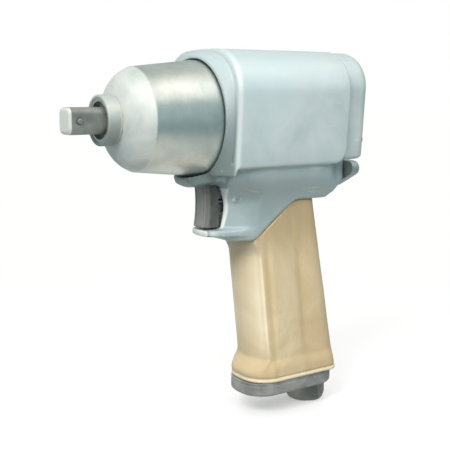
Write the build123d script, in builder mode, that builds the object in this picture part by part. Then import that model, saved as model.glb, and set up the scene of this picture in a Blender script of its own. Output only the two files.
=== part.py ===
from build123d import *
import math
import os

# Air-driven impact wrench with a half-inch square drive, in millimetres.
# The drive axis is Y and the tool points along -Y.  Z is up, X is sideways and the tool is
# mirrored about X = 0 outside.  The origin is the centre of the nose collar's front face.

# ---- Driving dimensions ----------------------------------------------------------------
SQUARE = 12.7            # half-inch square drive, across flats
SQUARE_TIP = -17.0       # front end of the drive square
NOSE_RADIUS = 12.2       # nose collar
NOSE_LENGTH = 7.5
CASE_SHOULDER = 18.0     # station where the dome meets the barrel
CASE_FRONT_RADIUS = 25.3
CASE_REAR_RADIUS = 29.2
CASE_REAR = 57.0         # rear face of the hammer case's shoulder
CASE_WALL_FRONT = 18.2   # inner face of the dome around the anvil bushing
BUSHING_BORE = 10.3      # bore of the nose that holds the anvil bushing
CASE_BORE = 23.1
SPIGOT_RADIUS = 26.4     # case spigot that screws into the housing
SPIGOT_END = 64.0

HOUSING_FRONT = 58.0
COLLAR_FRONT = 52.4      # tapered collar of the housing around the end of the barrel
COLLAR_TIP_RADIUS = 31.2
COLLAR_ROOT_RADIUS = 32.6
HOUSING_REAR = 129.0
HOUSING_HALF_WIDTH = 33.8
HOUSING_TOP = 34.6
HOUSING_SHOULDER = 12.5  # height where the side turns into the shoulder
HOUSING_FLOOR = -24.0
FLOOR_HALF_WIDTH = 31.2
ARCH_FLAT = 14.5         # half width of the nearly flat top
ARCH_CROWN = 0.4         # rise of that top at its middle
COVER_REAR = 144.5

MOTOR_BORE = 21.0
PLATE_START = 67.0       # front end plate
CYLINDER_START = 74.0
CYLINDER_END = 112.0
STACK_END = 119.0        # rear face of the rear end plate
CHAMBER_RADIUS = 17.0
CHAMBER_OFFSET = 2.2     # how far the air chamber stands above the drive axis
ROTOR_RADIUS = 14.5
SHAFT_RADIUS = 6.0
VANES = 6

FRAME_FRONT = 22.3       # hammer frame
FRAME_RADIUS = 22.5
HAMMER_LENGTH = 9.0
HAMMER_STARTS = (26.8, 36.5)
HAMMER_BORE = 12.5
HAMMER_PIN_OFFSET = 18.5
HAMMER_PIN_RADIUS = 2.25
ANVIL_BODY_RADIUS = 9.0
ANVIL_JAW_RADIUS = 11.0
ANVIL_SHANK_RADIUS = 8.0

HANDLE_FRONT = 77.7      # front and rear of the grip at HANDLE_TOP, and how far back they
HANDLE_REAR = 125.0      # run for each millimetre down
HANDLE_TOP = -50.0
FRONT_RAKE = 0.107
REAR_RAKE = 0.182
GRIP_HALF_WIDTH = 16.0
GRIP_CORNER = 12.0
GRIP_WALL = 2.2
GRIP_BOTTOM = -142.6
GRIP_FLARE = 4.0         # spread of the grip's foot, and the shares of it that go forwards,
FLARE_LEAD = 1.8         # rearwards and sideways
FLARE_REAR = 0.25
FLARE_SIDE = 0.25
FLARE_START = -128.0
HANDLE_ROOT = -36.0      # height inside the casting where the handle starts
CASTING_LOW = (81.0, -63.2)     # (station, height) ends of the slanted edge where the
CASTING_HIGH = (106.0, -43.5)   # casting's underside meets the grip sleeve
END_PLATE_BOTTOM = -150.4
INLET_Y = 128.5
INLET_BOTTOM = -161.5

TRIGGER_FRONT = 56.0
TRIGGER_BACK = 64.0
TRIGGER_HALF_WIDTH = 7.0
TRIGGER_TOP = -33.4
TRIGGER_BOTTOM = -56.0
POCKET_FLOOR = 68.4
THROTTLE_Z = -43.5
THROTTLE_BORE = 5.5
REVERSE_Z = -31.5
REVERSE_START = 74.0     # front end of the reverse valve's bore
REVERSE_VALVE_RADIUS = 3.5
REVERSE_BUSH_RADIUS = 5.0
LEVER_HUB = 8.2          # reverse lever on the end of the reverse valve
LEVER_START = 145.0
LEVER_END = 150.8
LEVER_REACH = 14.4
LEVER_TIP = 4.2

RUNNING = 0.05           # radial clearance of running fits
SEAT = 0.02              # clearance of seated and threaded fits

os.makedirs("parts", exist_ok=True)


# ---- Helpers ---------------------------------------------------------------------------
def across(y):
    """Plane square to the drive axis at station y: local x is X, local y is Z."""
    return Plane.XZ.offset(-y)


def level(z):
    """Horizontal plane at height z."""
    return Plane.XY.offset(z)


def save(piece, label):
    """Name a finished piece and write its STEP file."""
    piece.part.label = label
    export_step(piece.part, f"parts/{label}.step")


def turned(points):
    """Add a body turned about the drive axis from (station, radius) points."""
    with BuildSketch(Plane.YZ) as profile:
        with BuildLine():
            Polyline(*points, close=True)
        make_face()
    revolve(profile.sketch, axis=Axis.Y)


def cut_bore(radius, start, end, x=0, z=0):
    """Cut a round bore along the drive direction between two stations."""
    with BuildSketch(across(start)) as profile:
        with Locations((x, z)):
            Circle(radius)
    extrude(profile.sketch, amount=start - end, mode=Mode.SUBTRACT)


def rod(radius, start, end, x=0, z=0):
    """Add a round bar along the drive direction between two stations."""
    with BuildSketch(across(start)) as profile:
        with Locations((x, z)):
            Circle(radius)
    extrude(profile.sketch, amount=start - end)


def upright(radius, height, x, y, base, mode=Mode.SUBTRACT):
    """Cut (or add) a vertical round bar that starts at height base."""
    with Locations((x, y, base)):
        Cylinder(radius, height, align=(Align.CENTER, Align.CENTER, Align.MIN), mode=mode)


def coil(radius, wire, pitch, start, end):
    """Add a helical spring wound about the line from start to end."""
    first = Vector(*start)
    run = Vector(*end) - first
    with BuildLine() as path:
        Helix(pitch, run.length, radius, center=first, direction=run.normalized())
    with BuildSketch(Plane(origin=path.line @ 0, z_dir=path.line % 0)) as section:
        Circle(wire)
    sweep(section.sketch, path=path.line, is_frenet=True)


def arch(y, inset, floor):
    """Housing outline across station y, moved in by inset and closed at height floor."""
    half = HOUSING_HALF_WIDTH
    flat = ARCH_FLAT
    edge = HOUSING_TOP - ARCH_CROWN
    with BuildSketch(across(y)) as outline:
        with BuildLine():
            side = Line((FLOOR_HALF_WIDTH, HOUSING_FLOOR), (half, HOUSING_SHOULDER))
            shoulder = TangentArc(side @ 1, (flat, edge), tangent=side % 1)
            ThreePointArc(shoulder @ 1, (0, HOUSING_TOP), (-flat, edge))
            mirror(side, about=Plane.YZ)
            mirror(shoulder, about=Plane.YZ)
            Line((-FLOOR_HALF_WIDTH, HOUSING_FLOOR), (FLOOR_HALF_WIDTH, HOUSING_FLOOR))
        make_face()
        if inset:
            offset(amount=-inset)
        with Locations((0, floor - half)):
            Rectangle(4 * half, 2 * half, mode=Mode.SUBTRACT)
    return outline.sketch


def grip_front(z):
    return HANDLE_FRONT + FRONT_RAKE * (HANDLE_TOP - z)


def grip_rear(z):
    return HANDLE_REAR + REAR_RAKE * (HANDLE_TOP - z)


def grip_section(z, flare, inset):
    """Rounded handle section at height z, spread by flare and moved in by inset."""
    front = grip_front(z) - FLARE_LEAD * flare + inset
    rear = grip_rear(z) + FLARE_REAR * flare - inset
    half = GRIP_HALF_WIDTH + FLARE_SIDE * flare - inset
    with BuildSketch(level(z)) as section:
        with Locations((0, (front + rear) / 2)):
            RectangleRounded(2 * half, rear - front, GRIP_CORNER - inset)
    return section.sketch


def handle_loft(inset):
    """Add the handle body from inside the casting down to the flared foot."""
    middle = (FLARE_START + GRIP_BOTTOM) / 2
    rings = (
        (HANDLE_ROOT, 0),
        (FLARE_START, 0),
        (middle, 0.7 * GRIP_FLARE),
        (GRIP_BOTTOM, GRIP_FLARE),
    )
    for upper, lower in zip(rings, rings[1:]):
        loft([grip_section(*upper, inset), grip_section(*lower, inset)])


def below_casting(drop):
    """Side-view region below the line where the casting ends and the grip sleeve starts."""
    ahead, behind, below = 40, 160, -170
    low_y, low_z = CASTING_LOW
    high_y, high_z = CASTING_HIGH
    with BuildSketch(Plane.YZ) as region:
        with BuildLine():
            FilletPolyline(
                (ahead, below),
                (ahead, low_z - drop),
                (low_y, low_z - drop),
                (high_y, high_z - drop),
                (behind, high_z - drop),
                (behind, below),
                radius=(0, 0, 5, 5, 0, 0),
                close=True,
            )
        make_face()
    return region.sketch


# ---- Drive end -------------------------------------------------------------------------
jaw_half_width = 3.0
pilot_radius = 5.0
pilot_end = 50.0
detent_y = SQUARE_TIP + 5.2
detent_radius = 1.5
with BuildPart() as anvil:
    with BuildSketch(across(SQUARE_TIP)):
        RectangleRounded(SQUARE, SQUARE, 2.2)
    extrude(amount=SQUARE_TIP - 4.0)
    chamfer(anvil.faces().sort_by(Axis.Y)[0].edges(), 1.1)
    rod(ANVIL_SHANK_RADIUS, 3.6, 19.0)
    rod(11.0, 18.7, 21.8)
    rod(ANVIL_BODY_RADIUS, 21.0, 45.8)
    rod(pilot_radius, 45.0, pilot_end)
    for start, side in zip(HAMMER_STARTS, (-1, 1)):
        with BuildSketch(across(start + 0.3)):
            Circle(ANVIL_JAW_RADIUS)
            with Locations((0, side * 10)):
                Rectangle(2 * jaw_half_width, 20, mode=Mode.INTERSECT)
        extrude(amount=-(HAMMER_LENGTH - 0.6))
    with BuildSketch(Plane.YZ.offset(-2.6)):
        with Locations((detent_y, 0)):
            Circle(detent_radius + RUNNING)
    extrude(amount=20, mode=Mode.SUBTRACT)
save(anvil, "anvil")

with BuildPart() as socket_pin:
    with BuildSketch(Plane.YZ.offset(1.9)):
        with Locations((detent_y, 0)):
            Circle(detent_radius)
    extrude(amount=SQUARE / 2 + 1.1 - 1.9)
    fillet(socket_pin.edges().sort_by(Axis.X)[-1], 0.9)
save(socket_pin, "socket_pin")

with BuildPart() as socket_pin_spring:
    coil(1.0, 0.22, 0.9, (-2.3, detent_y, 0), (1.6, detent_y, 0))
save(socket_pin_spring, "socket_pin_spring")

with BuildPart() as hammer_case:
    with BuildSketch(Plane.YZ):
        with BuildLine():
            Polyline(
                (0, 10.7),
                (0, NOSE_RADIUS - 0.9),
                (0.9, NOSE_RADIUS),
                (NOSE_LENGTH - 0.9, NOSE_RADIUS),
                (NOSE_LENGTH - 0.5, NOSE_RADIUS - 0.7),
                (NOSE_LENGTH, NOSE_RADIUS - 0.5),
            )
            dome = ThreePointArc(
                (NOSE_LENGTH, NOSE_RADIUS - 0.5),
                (11.1, 20.4),
                (CASE_SHOULDER, CASE_FRONT_RADIUS),
            )
            Polyline(
                dome @ 1,
                (CASE_REAR - 0.9, CASE_REAR_RADIUS),
                (CASE_REAR, CASE_REAR_RADIUS - 0.9),
                (CASE_REAR, SPIGOT_RADIUS),
                (SPIGOT_END, SPIGOT_RADIUS),
                (SPIGOT_END, CASE_BORE),
                (21.6, CASE_BORE),
                (CASE_WALL_FRONT, 19.5),
                (CASE_WALL_FRONT, BUSHING_BORE),
                (0.4, BUSHING_BORE),
                (0.4, 10.7),
                (0, 10.7),
            )
        make_face()
    revolve(axis=Axis.Y)
save(hammer_case, "hammer_case")

with BuildPart() as anvil_bushing:
    turned(
        [
            (0.6, 9.0),
            (0.6, BUSHING_BORE - SEAT),
            (CASE_WALL_FRONT - 0.1, BUSHING_BORE - SEAT),
            (CASE_WALL_FRONT - 0.1, ANVIL_SHANK_RADIUS + RUNNING),
            (4.4, ANVIL_SHANK_RADIUS + RUNNING),
            (4.4, 9.0),
        ]
    )
save(anvil_bushing, "anvil_bushing")

# ---- Twin hammer mechanism -------------------------------------------------------------
rear_disc = 46.0
hub_start = 50.6
hub_end = 58.0
socket_start = 51.2      # splined socket in the hub
spline_radius = 5.2
spline_teeth = 8
tooth_height = 1.5
tooth_width = 1.6


def spline_outline(y, clearance):
    """Toothed outline of the rotor's splined nose at station y."""
    with BuildSketch(across(y)) as outline:
        Circle(spline_radius + clearance)
        with PolarLocations(spline_radius, spline_teeth):
            Rectangle(tooth_height + 2 * clearance, tooth_width + 2 * clearance)
    return outline.sketch


with BuildPart() as hammer_frame:
    with BuildSketch(across(FRAME_FRONT)):
        Circle(FRAME_RADIUS)
        Circle(12.0, mode=Mode.SUBTRACT)
    extrude(amount=-4.0)
    with BuildSketch(across(FRAME_FRONT + 3.9)):
        Circle(FRAME_RADIUS)
        Rectangle(2 * FRAME_RADIUS, 12, mode=Mode.INTERSECT)
        Rectangle(2 * 18.9, 14, mode=Mode.SUBTRACT)
    extrude(amount=-(rear_disc - FRAME_FRONT - 3.8))
    rod(FRAME_RADIUS, rear_disc, hub_start)
    rod(10.5, hub_start - 0.1, hub_end)
    cut_bore(pilot_radius + RUNNING, rear_disc - 0.1, pilot_end + 0.3)
    socket = spline_outline(socket_start, RUNNING)
    extrude(socket, amount=socket_start - hub_end - 0.1, mode=Mode.SUBTRACT)
    for side in (1, -1):
        cut_bore(HAMMER_PIN_RADIUS + SEAT, FRAME_FRONT - 0.1, hub_start - 1.0, z=side * HAMMER_PIN_OFFSET)
save(hammer_frame, "hammer_frame")


def hammer(start, side):
    """Ring hammer hung on the pin at height side * HAMMER_PIN_OFFSET."""
    notch_floor = HAMMER_PIN_OFFSET - HAMMER_PIN_RADIUS - 0.75
    with BuildSketch(across(start)) as outline:
        Circle(17.5)
        Rectangle(31.0, 40, mode=Mode.INTERSECT)
        with Locations((0, side * 16)):
            Rectangle(9.0, 16)
        Circle(22.0, mode=Mode.INTERSECT)
        Circle(HAMMER_BORE, mode=Mode.SUBTRACT)
        with Locations((0, side * HAMMER_PIN_OFFSET)):
            Circle(HAMMER_PIN_RADIUS + RUNNING, mode=Mode.SUBTRACT)
        with Locations((0, -side * (notch_floor + 5))):
            Rectangle(14.6, 10, mode=Mode.SUBTRACT)
    extrude(outline.sketch, amount=-HAMMER_LENGTH)


with BuildPart() as front_hammer:
    hammer(HAMMER_STARTS[0], 1)
save(front_hammer, "front_hammer")

with BuildPart() as rear_hammer:
    hammer(HAMMER_STARTS[1], -1)
save(rear_hammer, "rear_hammer")

with BuildPart() as hammer_pins:
    for side in (1, -1):
        rod(HAMMER_PIN_RADIUS, FRAME_FRONT + 0.3, hub_start - 1.1, z=side * HAMMER_PIN_OFFSET)
save(hammer_pins, "hammer_pins")

# ---- Air motor -------------------------------------------------------------------------
bearing_outer = 12.0
bearing_width = 6.0
pitch_radius = 9.0
ball_radius = 1.6
ball_count = 8
bearing_starts = (PLATE_START + 0.6, CYLINDER_END + 0.4)
shaft_front = 51.5
vane_thickness = 2.5
slot_floor = 6.6

with BuildPart() as rotor:
    rod(ROTOR_RADIUS, CYLINDER_START + 0.1, CYLINDER_END - 0.1)
    rod(SHAFT_RADIUS, hub_end + 0.2, STACK_END - 0.5)
    extrude(spline_outline(shaft_front, 0), amount=shaft_front - hub_end - 0.3)
    with BuildSketch(across(CYLINDER_START)):
        with PolarLocations(slot_floor + 10, VANES):
            Rectangle(20, vane_thickness + 0.1)
    extrude(amount=CYLINDER_START - CYLINDER_END, mode=Mode.SUBTRACT)
save(rotor, "rotor")

with BuildPart() as rotor_vanes:
    with BuildSketch(across(CYLINDER_START + 0.15)):
        with PolarLocations((slot_floor + ROTOR_RADIUS) / 2, VANES):
            Rectangle(ROTOR_RADIUS - slot_floor - 0.2, vane_thickness)
    extrude(amount=CYLINDER_START - CYLINDER_END + 0.3)
save(rotor_vanes, "rotor_vanes")


def race(inner, outer, start):
    """Bearing ring with its ball groove."""
    middle = start + bearing_width / 2
    with BuildSketch(Plane.YZ) as profile:
        with Locations((middle, (inner + outer) / 2)):
            Rectangle(bearing_width, outer - inner)
        with Locations((middle, pitch_radius)):
            Circle(ball_radius + RUNNING, mode=Mode.SUBTRACT)
    revolve(profile.sketch, axis=Axis.Y)


def ball_centres(start):
    """Centres of the bearing balls around the pitch circle."""
    for turn in range(ball_count):
        angle = math.radians(360 / ball_count * turn)
        across_x = pitch_radius * math.cos(angle)
        across_z = pitch_radius * math.sin(angle)
        yield Vector(across_x, start + bearing_width / 2, across_z)


for place, start in zip(("front", "rear"), bearing_starts):
    with BuildPart() as outer_ring:
        race(10.0, bearing_outer, start)
    save(outer_ring, f"{place}_bearing_outer_ring")

    with BuildPart() as inner_ring:
        race(SHAFT_RADIUS + SEAT, 8.0, start)
    save(inner_ring, f"{place}_bearing_inner_ring")

    with BuildPart() as balls:
        for centre in ball_centres(start):
            with Locations(centre):
                Sphere(ball_radius)
    save(balls, f"{place}_bearing_balls")

    with BuildPart() as cage:
        with BuildSketch(Plane.YZ):
            with Locations((start + bearing_width / 2, pitch_radius)):
                Rectangle(bearing_width - 1.6, 1.1)
        revolve(axis=Axis.Y)
        for centre in ball_centres(start):
            with BuildSketch(Plane(origin=centre, z_dir=(centre.X, 0, centre.Z))):
                Circle(ball_radius + 0.06)
            extrude(amount=2, both=True, mode=Mode.SUBTRACT)
    save(cage, f"{place}_bearing_cage")

dowel_x = -13.4
dowel_z = -12.7
dowel_radius = 1.5
with BuildPart() as front_end_plate:
    rod(MOTOR_BORE - RUNNING, PLATE_START, CYLINDER_START)
    cut_bore(bearing_outer + SEAT, PLATE_START + 0.5, CYLINDER_START - 0.3)
    cut_bore(SHAFT_RADIUS + 1.5, PLATE_START - 0.1, CYLINDER_START + 0.1)
    cut_bore(dowel_radius + SEAT, CYLINDER_START - 4, CYLINDER_START + 0.1, x=dowel_x, z=dowel_z)
save(front_end_plate, "front_end_plate")

with BuildPart() as rear_end_plate:
    rod(MOTOR_BORE - RUNNING, CYLINDER_END, STACK_END)
    cut_bore(bearing_outer + SEAT, CYLINDER_END + 0.3, STACK_END - 0.5)
    cut_bore(SHAFT_RADIUS + 1.5, CYLINDER_END - 0.1, STACK_END + 0.1)
    cut_bore(dowel_radius + SEAT, CYLINDER_END - 0.1, CYLINDER_END + 4, x=dowel_x, z=dowel_z)
save(rear_end_plate, "rear_end_plate")

port_size = (4, 7, 14)   # air ports through the lower wall of the cylinder
port_spots = ((9.0, 80, -18), (9.0, 96, -18), (0, 88, -18), (0, 104, -18))
with BuildPart() as cylinder:
    rod(MOTOR_BORE - RUNNING, CYLINDER_START + SEAT, CYLINDER_END - SEAT)
    cut_bore(CHAMBER_RADIUS, CYLINDER_START, CYLINDER_END, z=CHAMBER_OFFSET)
    cut_bore(dowel_radius + SEAT, CYLINDER_START, CYLINDER_END, x=dowel_x, z=dowel_z)
    with Locations(*port_spots):
        Box(*port_size, mode=Mode.SUBTRACT)
save(cylinder, "cylinder")

with BuildPart() as cylinder_dowel:
    rod(dowel_radius, CYLINDER_START - 3.8, CYLINDER_END + 3.8, x=dowel_x, z=dowel_z)
save(cylinder_dowel, "cylinder_dowel")

# ---- Motor housing ---------------------------------------------------------------------
casting_half_width = 16.6
chin_bottom = -34.9
keel_side = -29.6        # height of the chin's underside at its flanks
web_half_width = 12.5
web_top = -22.9
web_rear = COVER_REAR - 0.2
dimple_offset = 6.3      # detent ball beside the reverse valve's axis
ball_size = 1.2
detent_bore_end = 137.0
plate_screw_x = 7.0
plate_screw_y = 90.2
pin_y = 71.0             # cross pin that holds the trigger bushing
pin_z = -40.4
pin_radius = 1.0
pin_half_length = 14.4   # its ends stand just proud of the casting
screw_spots = ((20.0, 21.5), (-20.0, 21.5), (24.0, -12.0), (-24.0, -12.0))
screw_radius = 2.0
bulkhead_bore = 12.0     # hole the rotor's nose passes through on its way to the hammers
air_way_radius = 2.5     # upright ways between throttle, reverse valve and motor
feed_y = 78.0
port_y = 90.0
throttle_end = 100.5
thread_radius = 8.5      # inlet thread in the foot of the handle
thread_depth = 17.0
inlet_way_radius = 4.4   # raked way from that thread up to the throttle chamber
inlet_way_top = 97.0
tap_radius = 1.55        # tapped holes for the end plate screws


def snout(front, rear, bottom, height):
    """Add a boat-shaped block that widens rearwards."""
    half = 15.5
    with BuildSketch(level(bottom)) as plan:
        with BuildLine():
            nose = ThreePointArc((-0.45 * half, front + 1.2), (0, front), (0.45 * half, front + 1.2))
            flank = Spline(nose @ 1, (0.8 * half, front + 8.0), (half, front + 18.0))
            mirror(flank, about=Plane.YZ)
            Polyline(flank @ 1, (half, rear), (-half, rear), (-half, front + 18.0))
        make_face()
    extrude(plan.sketch, amount=height)


with BuildPart() as chin:
    snout(44.0, 74.0, chin_bottom, 14)
    # slanted nose, and a keel that rises towards both sides
    with BuildSketch(Plane.YZ):
        with BuildLine():
            Polyline((38, -38), (38, -26.5), (43.5, -28.8), (48.4, -35.1), (50, -38), close=True)
        make_face()
    extrude(amount=20, both=True, mode=Mode.SUBTRACT)
    with BuildSketch(across(40)) as keel:
        with BuildLine():
            bottom = ThreePointArc((-16, keel_side), (0, chin_bottom), (16, keel_side))
            Polyline(bottom @ 1, (16, -15), (-16, -15), bottom @ 0)
        make_face()
    extrude(keel.sketch, amount=-40, mode=Mode.INTERSECT)

with BuildPart() as lip:
    snout(55.2, 80.0, -60.4, 3.6)

with BuildPart() as casting_side:
    with BuildSketch(Plane.YZ):
        with BuildLine():
            front = Line((60.0, -22), (62.0, -31))
            throat = Spline(front @ 1, (65.8, -44), (63.6, -57))
            FilletPolyline(
                throat @ 1,
                (63.6, -60.4),
                (68, -63.2),
                CASTING_LOW,
                CASTING_HIGH,
                (126.5, CASTING_HIGH[1]),
                (129.5, -41.2),
                (138.3, -41.2),
                (web_rear, -34.8),
                (web_rear, web_top),
                radius=(1.5, 4, 5, 5, 1, 1, 5, 3),
            )
            Polyline((web_rear, web_top), (HOUSING_REAR, web_top), (HOUSING_REAR, -22), front @ 0)
        make_face()
    extrude(amount=40, both=True)

with BuildPart() as casting_front:
    with BuildSketch(across(40)):
        with BuildLine():
            flank = Spline(
                (FLOOR_HALF_WIDTH - 3.0, -20),
                (FLOOR_HALF_WIDTH - 4.0, -30),
                (19.6, -41),
                (casting_half_width, -51),
                (casting_half_width, -66),
            )
            mirror(flank, about=Plane.YZ)
            Line(flank @ 0, (-(FLOOR_HALF_WIDTH - 3.0), -20))
            Line(flank @ 1, (-casting_half_width, -66))
        make_face()
    extrude(amount=-120)

with BuildPart() as casting_plan:
    with BuildSketch(level(-70)):
        with BuildLine():
            sweep_in = Spline((33, 100), (26, 122), (web_half_width, 138))
            mirror(sweep_in, about=Plane.YZ)
            Polyline(sweep_in @ 1, (web_half_width, 148), (-web_half_width, 148), (-web_half_width, 138))
            Polyline(sweep_in @ 0, (33, 50), (-33, 50), (-33, 100))
        make_face()
    extrude(amount=60)

cheek_top = -29.0
cheek_low = -40.0
cheek_rise = 14.0        # how far the cheek swings out between those heights


def cheek(z, shift):
    """Region beside the trigger pocket that is taken off the casting at height z."""
    with BuildSketch(level(z)) as region:
        with BuildLine():
            Polyline(
                (8.6 + shift, 55),
                (8.6 + shift, 63.0),
                (12.4 + shift, 70.0),
                (17.5 + shift, 81.0),
                (40 + shift, 81.0),
                (40 + shift, 55),
                close=True,
            )
        make_face()
    return region.sketch


with BuildPart() as cheek_space:
    extrude(cheek(-66, 0), amount=cheek_low + 66)
    loft([cheek(cheek_low, 0), cheek(cheek_top, cheek_rise)], ruled=True)
    mirror(cheek_space.part, about=Plane.YZ)

with BuildPart() as casting:
    add(casting_side.part)
    add(casting_front.part, mode=Mode.INTERSECT)
    add(casting_plan.part, mode=Mode.INTERSECT)
    add(cheek_space.part, mode=Mode.SUBTRACT)

with BuildPart() as handle_solid:
    handle_loft(GRIP_WALL)

with BuildPart() as motor_block:
    extrude(arch(HOUSING_FRONT, 0, HOUSING_FLOOR), amount=HOUSING_FRONT - HOUSING_REAR)
    fillet(motor_block.faces().sort_by(Axis.Y)[0].edges(), 2.6)
    fillet(
        motor_block.edges().filter_by(Axis.X).group_by(Axis.Y)[-1].sort_by(Axis.Z)[0],
        7.5,
    )

exhaust_front = 95.0
exhaust_rear = 110.0
exhaust_half_width = 9.4
exhaust_way_x = 9.0
exhaust_way_y = 96.0
exhaust_way_z = -52.0
exhaust_way_size = (3.6, 11, 68)


def exhaust_room(top, inset, mode):
    """Raked exhaust cavity in the front of the handle, from its foot up to height top."""
    lean = FRONT_RAKE * (top - GRIP_BOTTOM)
    front = exhaust_front + inset
    rear = exhaust_rear - inset
    with BuildSketch(Plane.YZ) as profile:
        with BuildLine():
            Polyline(
                (front, GRIP_BOTTOM),
                (rear, GRIP_BOTTOM),
                (rear - lean, top),
                (front - lean, top),
                close=True,
            )
        make_face()
    extrude(profile.sketch, amount=exhaust_half_width - inset, both=True, mode=mode)


with BuildPart() as motor_housing:
    add(motor_block.part)
    add(casting.part)
    add(chin.part)
    add(lip.part)
    add(handle_solid.part)
    turned(
        [
            (COLLAR_FRONT, CASE_BORE),
            (COLLAR_FRONT, COLLAR_TIP_RADIUS),
            (HOUSING_FRONT + 0.1, COLLAR_ROOT_RADIUS),
            (HOUSING_FRONT + 0.1, CASE_BORE),
        ]
    )
    # seat for the hammer case, the motor bore and the hole between them
    cut_bore(CASE_REAR_RADIUS + 0.4, 30, HOUSING_FRONT)
    cut_bore(SPIGOT_RADIUS + SEAT, HOUSING_FRONT - 0.1, SPIGOT_END + 0.2)
    cut_bore(bulkhead_bore, SPIGOT_END, PLATE_START + 0.1)
    cut_bore(MOTOR_BORE, PLATE_START, HOUSING_REAR + 0.1)
    # trigger pocket, throttle chamber, reverse valve bore and the way between them
    pocket_front = TRIGGER_FRONT - 1.5
    with BuildSketch(Plane.YZ.offset(-TRIGGER_HALF_WIDTH - 0.35)):
        with Locations(((pocket_front + POCKET_FLOOR) / 2, (TRIGGER_TOP + TRIGGER_BOTTOM) / 2)):
            Rectangle(POCKET_FLOOR - pocket_front, TRIGGER_TOP - TRIGGER_BOTTOM + 0.7)
    extrude(amount=2 * TRIGGER_HALF_WIDTH + 0.7, mode=Mode.SUBTRACT)
    cut_bore(THROTTLE_BORE, POCKET_FLOOR - 0.1, throttle_end, z=THROTTLE_Z)
    cut_bore(REVERSE_BUSH_RADIUS, REVERSE_START, COVER_REAR + 0.1, z=REVERSE_Z)
    upright(air_way_radius, REVERSE_Z - THROTTLE_Z, 0, feed_y, THROTTLE_Z)
    upright(air_way_radius, 12, 0, port_y, REVERSE_Z)
    # exhaust ways beside the throttle chamber, and the cavity they join
    exhaust_room(-76.0, 0, Mode.SUBTRACT)
    for side in (1, -1):
        with Locations((side * exhaust_way_x, exhaust_way_y, exhaust_way_z)):
            Box(*exhaust_way_size, mode=Mode.SUBTRACT)
    # inlet thread and the raked way up to the throttle chamber
    upright(thread_radius, thread_depth, 0, INLET_Y, GRIP_BOTTOM)
    inlet_top = Vector(0, inlet_way_top, THROTTLE_Z)
    inlet_low = Vector(0, INLET_Y, GRIP_BOTTOM + thread_depth - 3)
    with BuildSketch(Plane(origin=inlet_low, z_dir=inlet_top - inlet_low)):
        Circle(inlet_way_radius)
    extrude(amount=(inlet_top - inlet_low).length, mode=Mode.SUBTRACT)
    cut_bore(ball_size + RUNNING, detent_bore_end, COVER_REAR + 0.1, x=-dimple_offset, z=REVERSE_Z)
    # cross pin hole, tapped holes for the end plate and for the rear cover
    with BuildSketch(Plane.YZ.offset(-40)):
        with Locations((pin_y, pin_z)):
            Circle(pin_radius + SEAT)
    extrude(amount=80, mode=Mode.SUBTRACT)
    for side in (1, -1):
        with Locations((side * plate_screw_x, plate_screw_y, GRIP_BOTTOM)):
            Cylinder(tap_radius, 18, mode=Mode.SUBTRACT)
    for x, z in screw_spots:
        cut_bore(screw_radius + SEAT, HOUSING_REAR - 14, HOUSING_REAR + 0.1, x=x, z=z)
save(motor_housing, "motor_housing")

# ---- Covers and seals of the motor -----------------------------------------------------
gasket = 0.6
cover_start = HOUSING_REAR + gasket
cover_inset = 2.2
cover_lift = 1.7         # the cover's outline stands this much higher, nearly flush at the top
cover_floor = web_top + 0.5
head_radius = 3.5
head_depth = 4.0

with BuildPart() as case_gasket:
    turned(
        [
            (CASE_REAR + SEAT, SPIGOT_RADIUS + 0.05),
            (CASE_REAR + SEAT, SPIGOT_RADIUS + 0.8),
            (HOUSING_FRONT - SEAT, SPIGOT_RADIUS + 0.8),
            (HOUSING_FRONT - SEAT, SPIGOT_RADIUS + 0.05),
        ]
    )
save(case_gasket, "case_gasket")

with BuildPart() as rear_gasket:
    extrude(arch(HOUSING_REAR + SEAT, cover_inset + 0.6, cover_floor + 0.3), amount=2 * SEAT - gasket)
    cut_bore(MOTOR_BORE + 0.4, HOUSING_REAR, cover_start)
    for x, z in screw_spots:
        cut_bore(screw_radius + 0.3, HOUSING_REAR, cover_start, x=x, z=z)
save(rear_gasket, "rear_gasket")

with BuildPart() as rear_cover:
    outline = arch(cover_start, cover_inset, cover_floor - cover_lift)
    extrude(Pos(0, 0, cover_lift) * outline, amount=cover_start - COVER_REAR)
    fillet(rear_cover.faces().sort_by(Axis.Y)[-1].edges(), 6.0)
    rod(MOTOR_BORE - RUNNING, STACK_END + SEAT, cover_start + 1)
    cut_bore(17.0, STACK_END, COVER_REAR - 6)
    for x, z in screw_spots:
        cut_bore(screw_radius + 0.2, HOUSING_REAR, COVER_REAR, x=x, z=z)
        cut_bore(head_radius + 0.3, COVER_REAR - head_depth - 1.0, COVER_REAR + 0.1, x=x, z=z)
save(rear_cover, "rear_cover")

with BuildPart() as rear_cover_screws:
    head_seat = COVER_REAR - head_depth - 1.0 + SEAT
    for x, z in screw_spots:
        rod(screw_radius, HOUSING_REAR - 13, head_seat + 0.1, x=x, z=z)
        rod(head_radius, head_seat, head_seat + head_depth, x=x, z=z)
        with BuildSketch(across(head_seat + head_depth - 2.6)):
            with Locations((x, z)):
                RegularPolygon(1.75, 6)
        extrude(amount=-3, mode=Mode.SUBTRACT)
save(rear_cover_screws, "rear_cover_screws")

# ---- Grip, end plate and air inlet -----------------------------------------------------
with BuildPart() as sleeve_core:
    handle_loft(GRIP_WALL - 0.05)

with BuildPart() as grip_sleeve:
    handle_loft(0)
    add(sleeve_core.part, mode=Mode.SUBTRACT)
    extrude(below_casting(0.15), amount=30, both=True, mode=Mode.INTERSECT)
save(grip_sleeve, "grip_sleeve")

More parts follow.
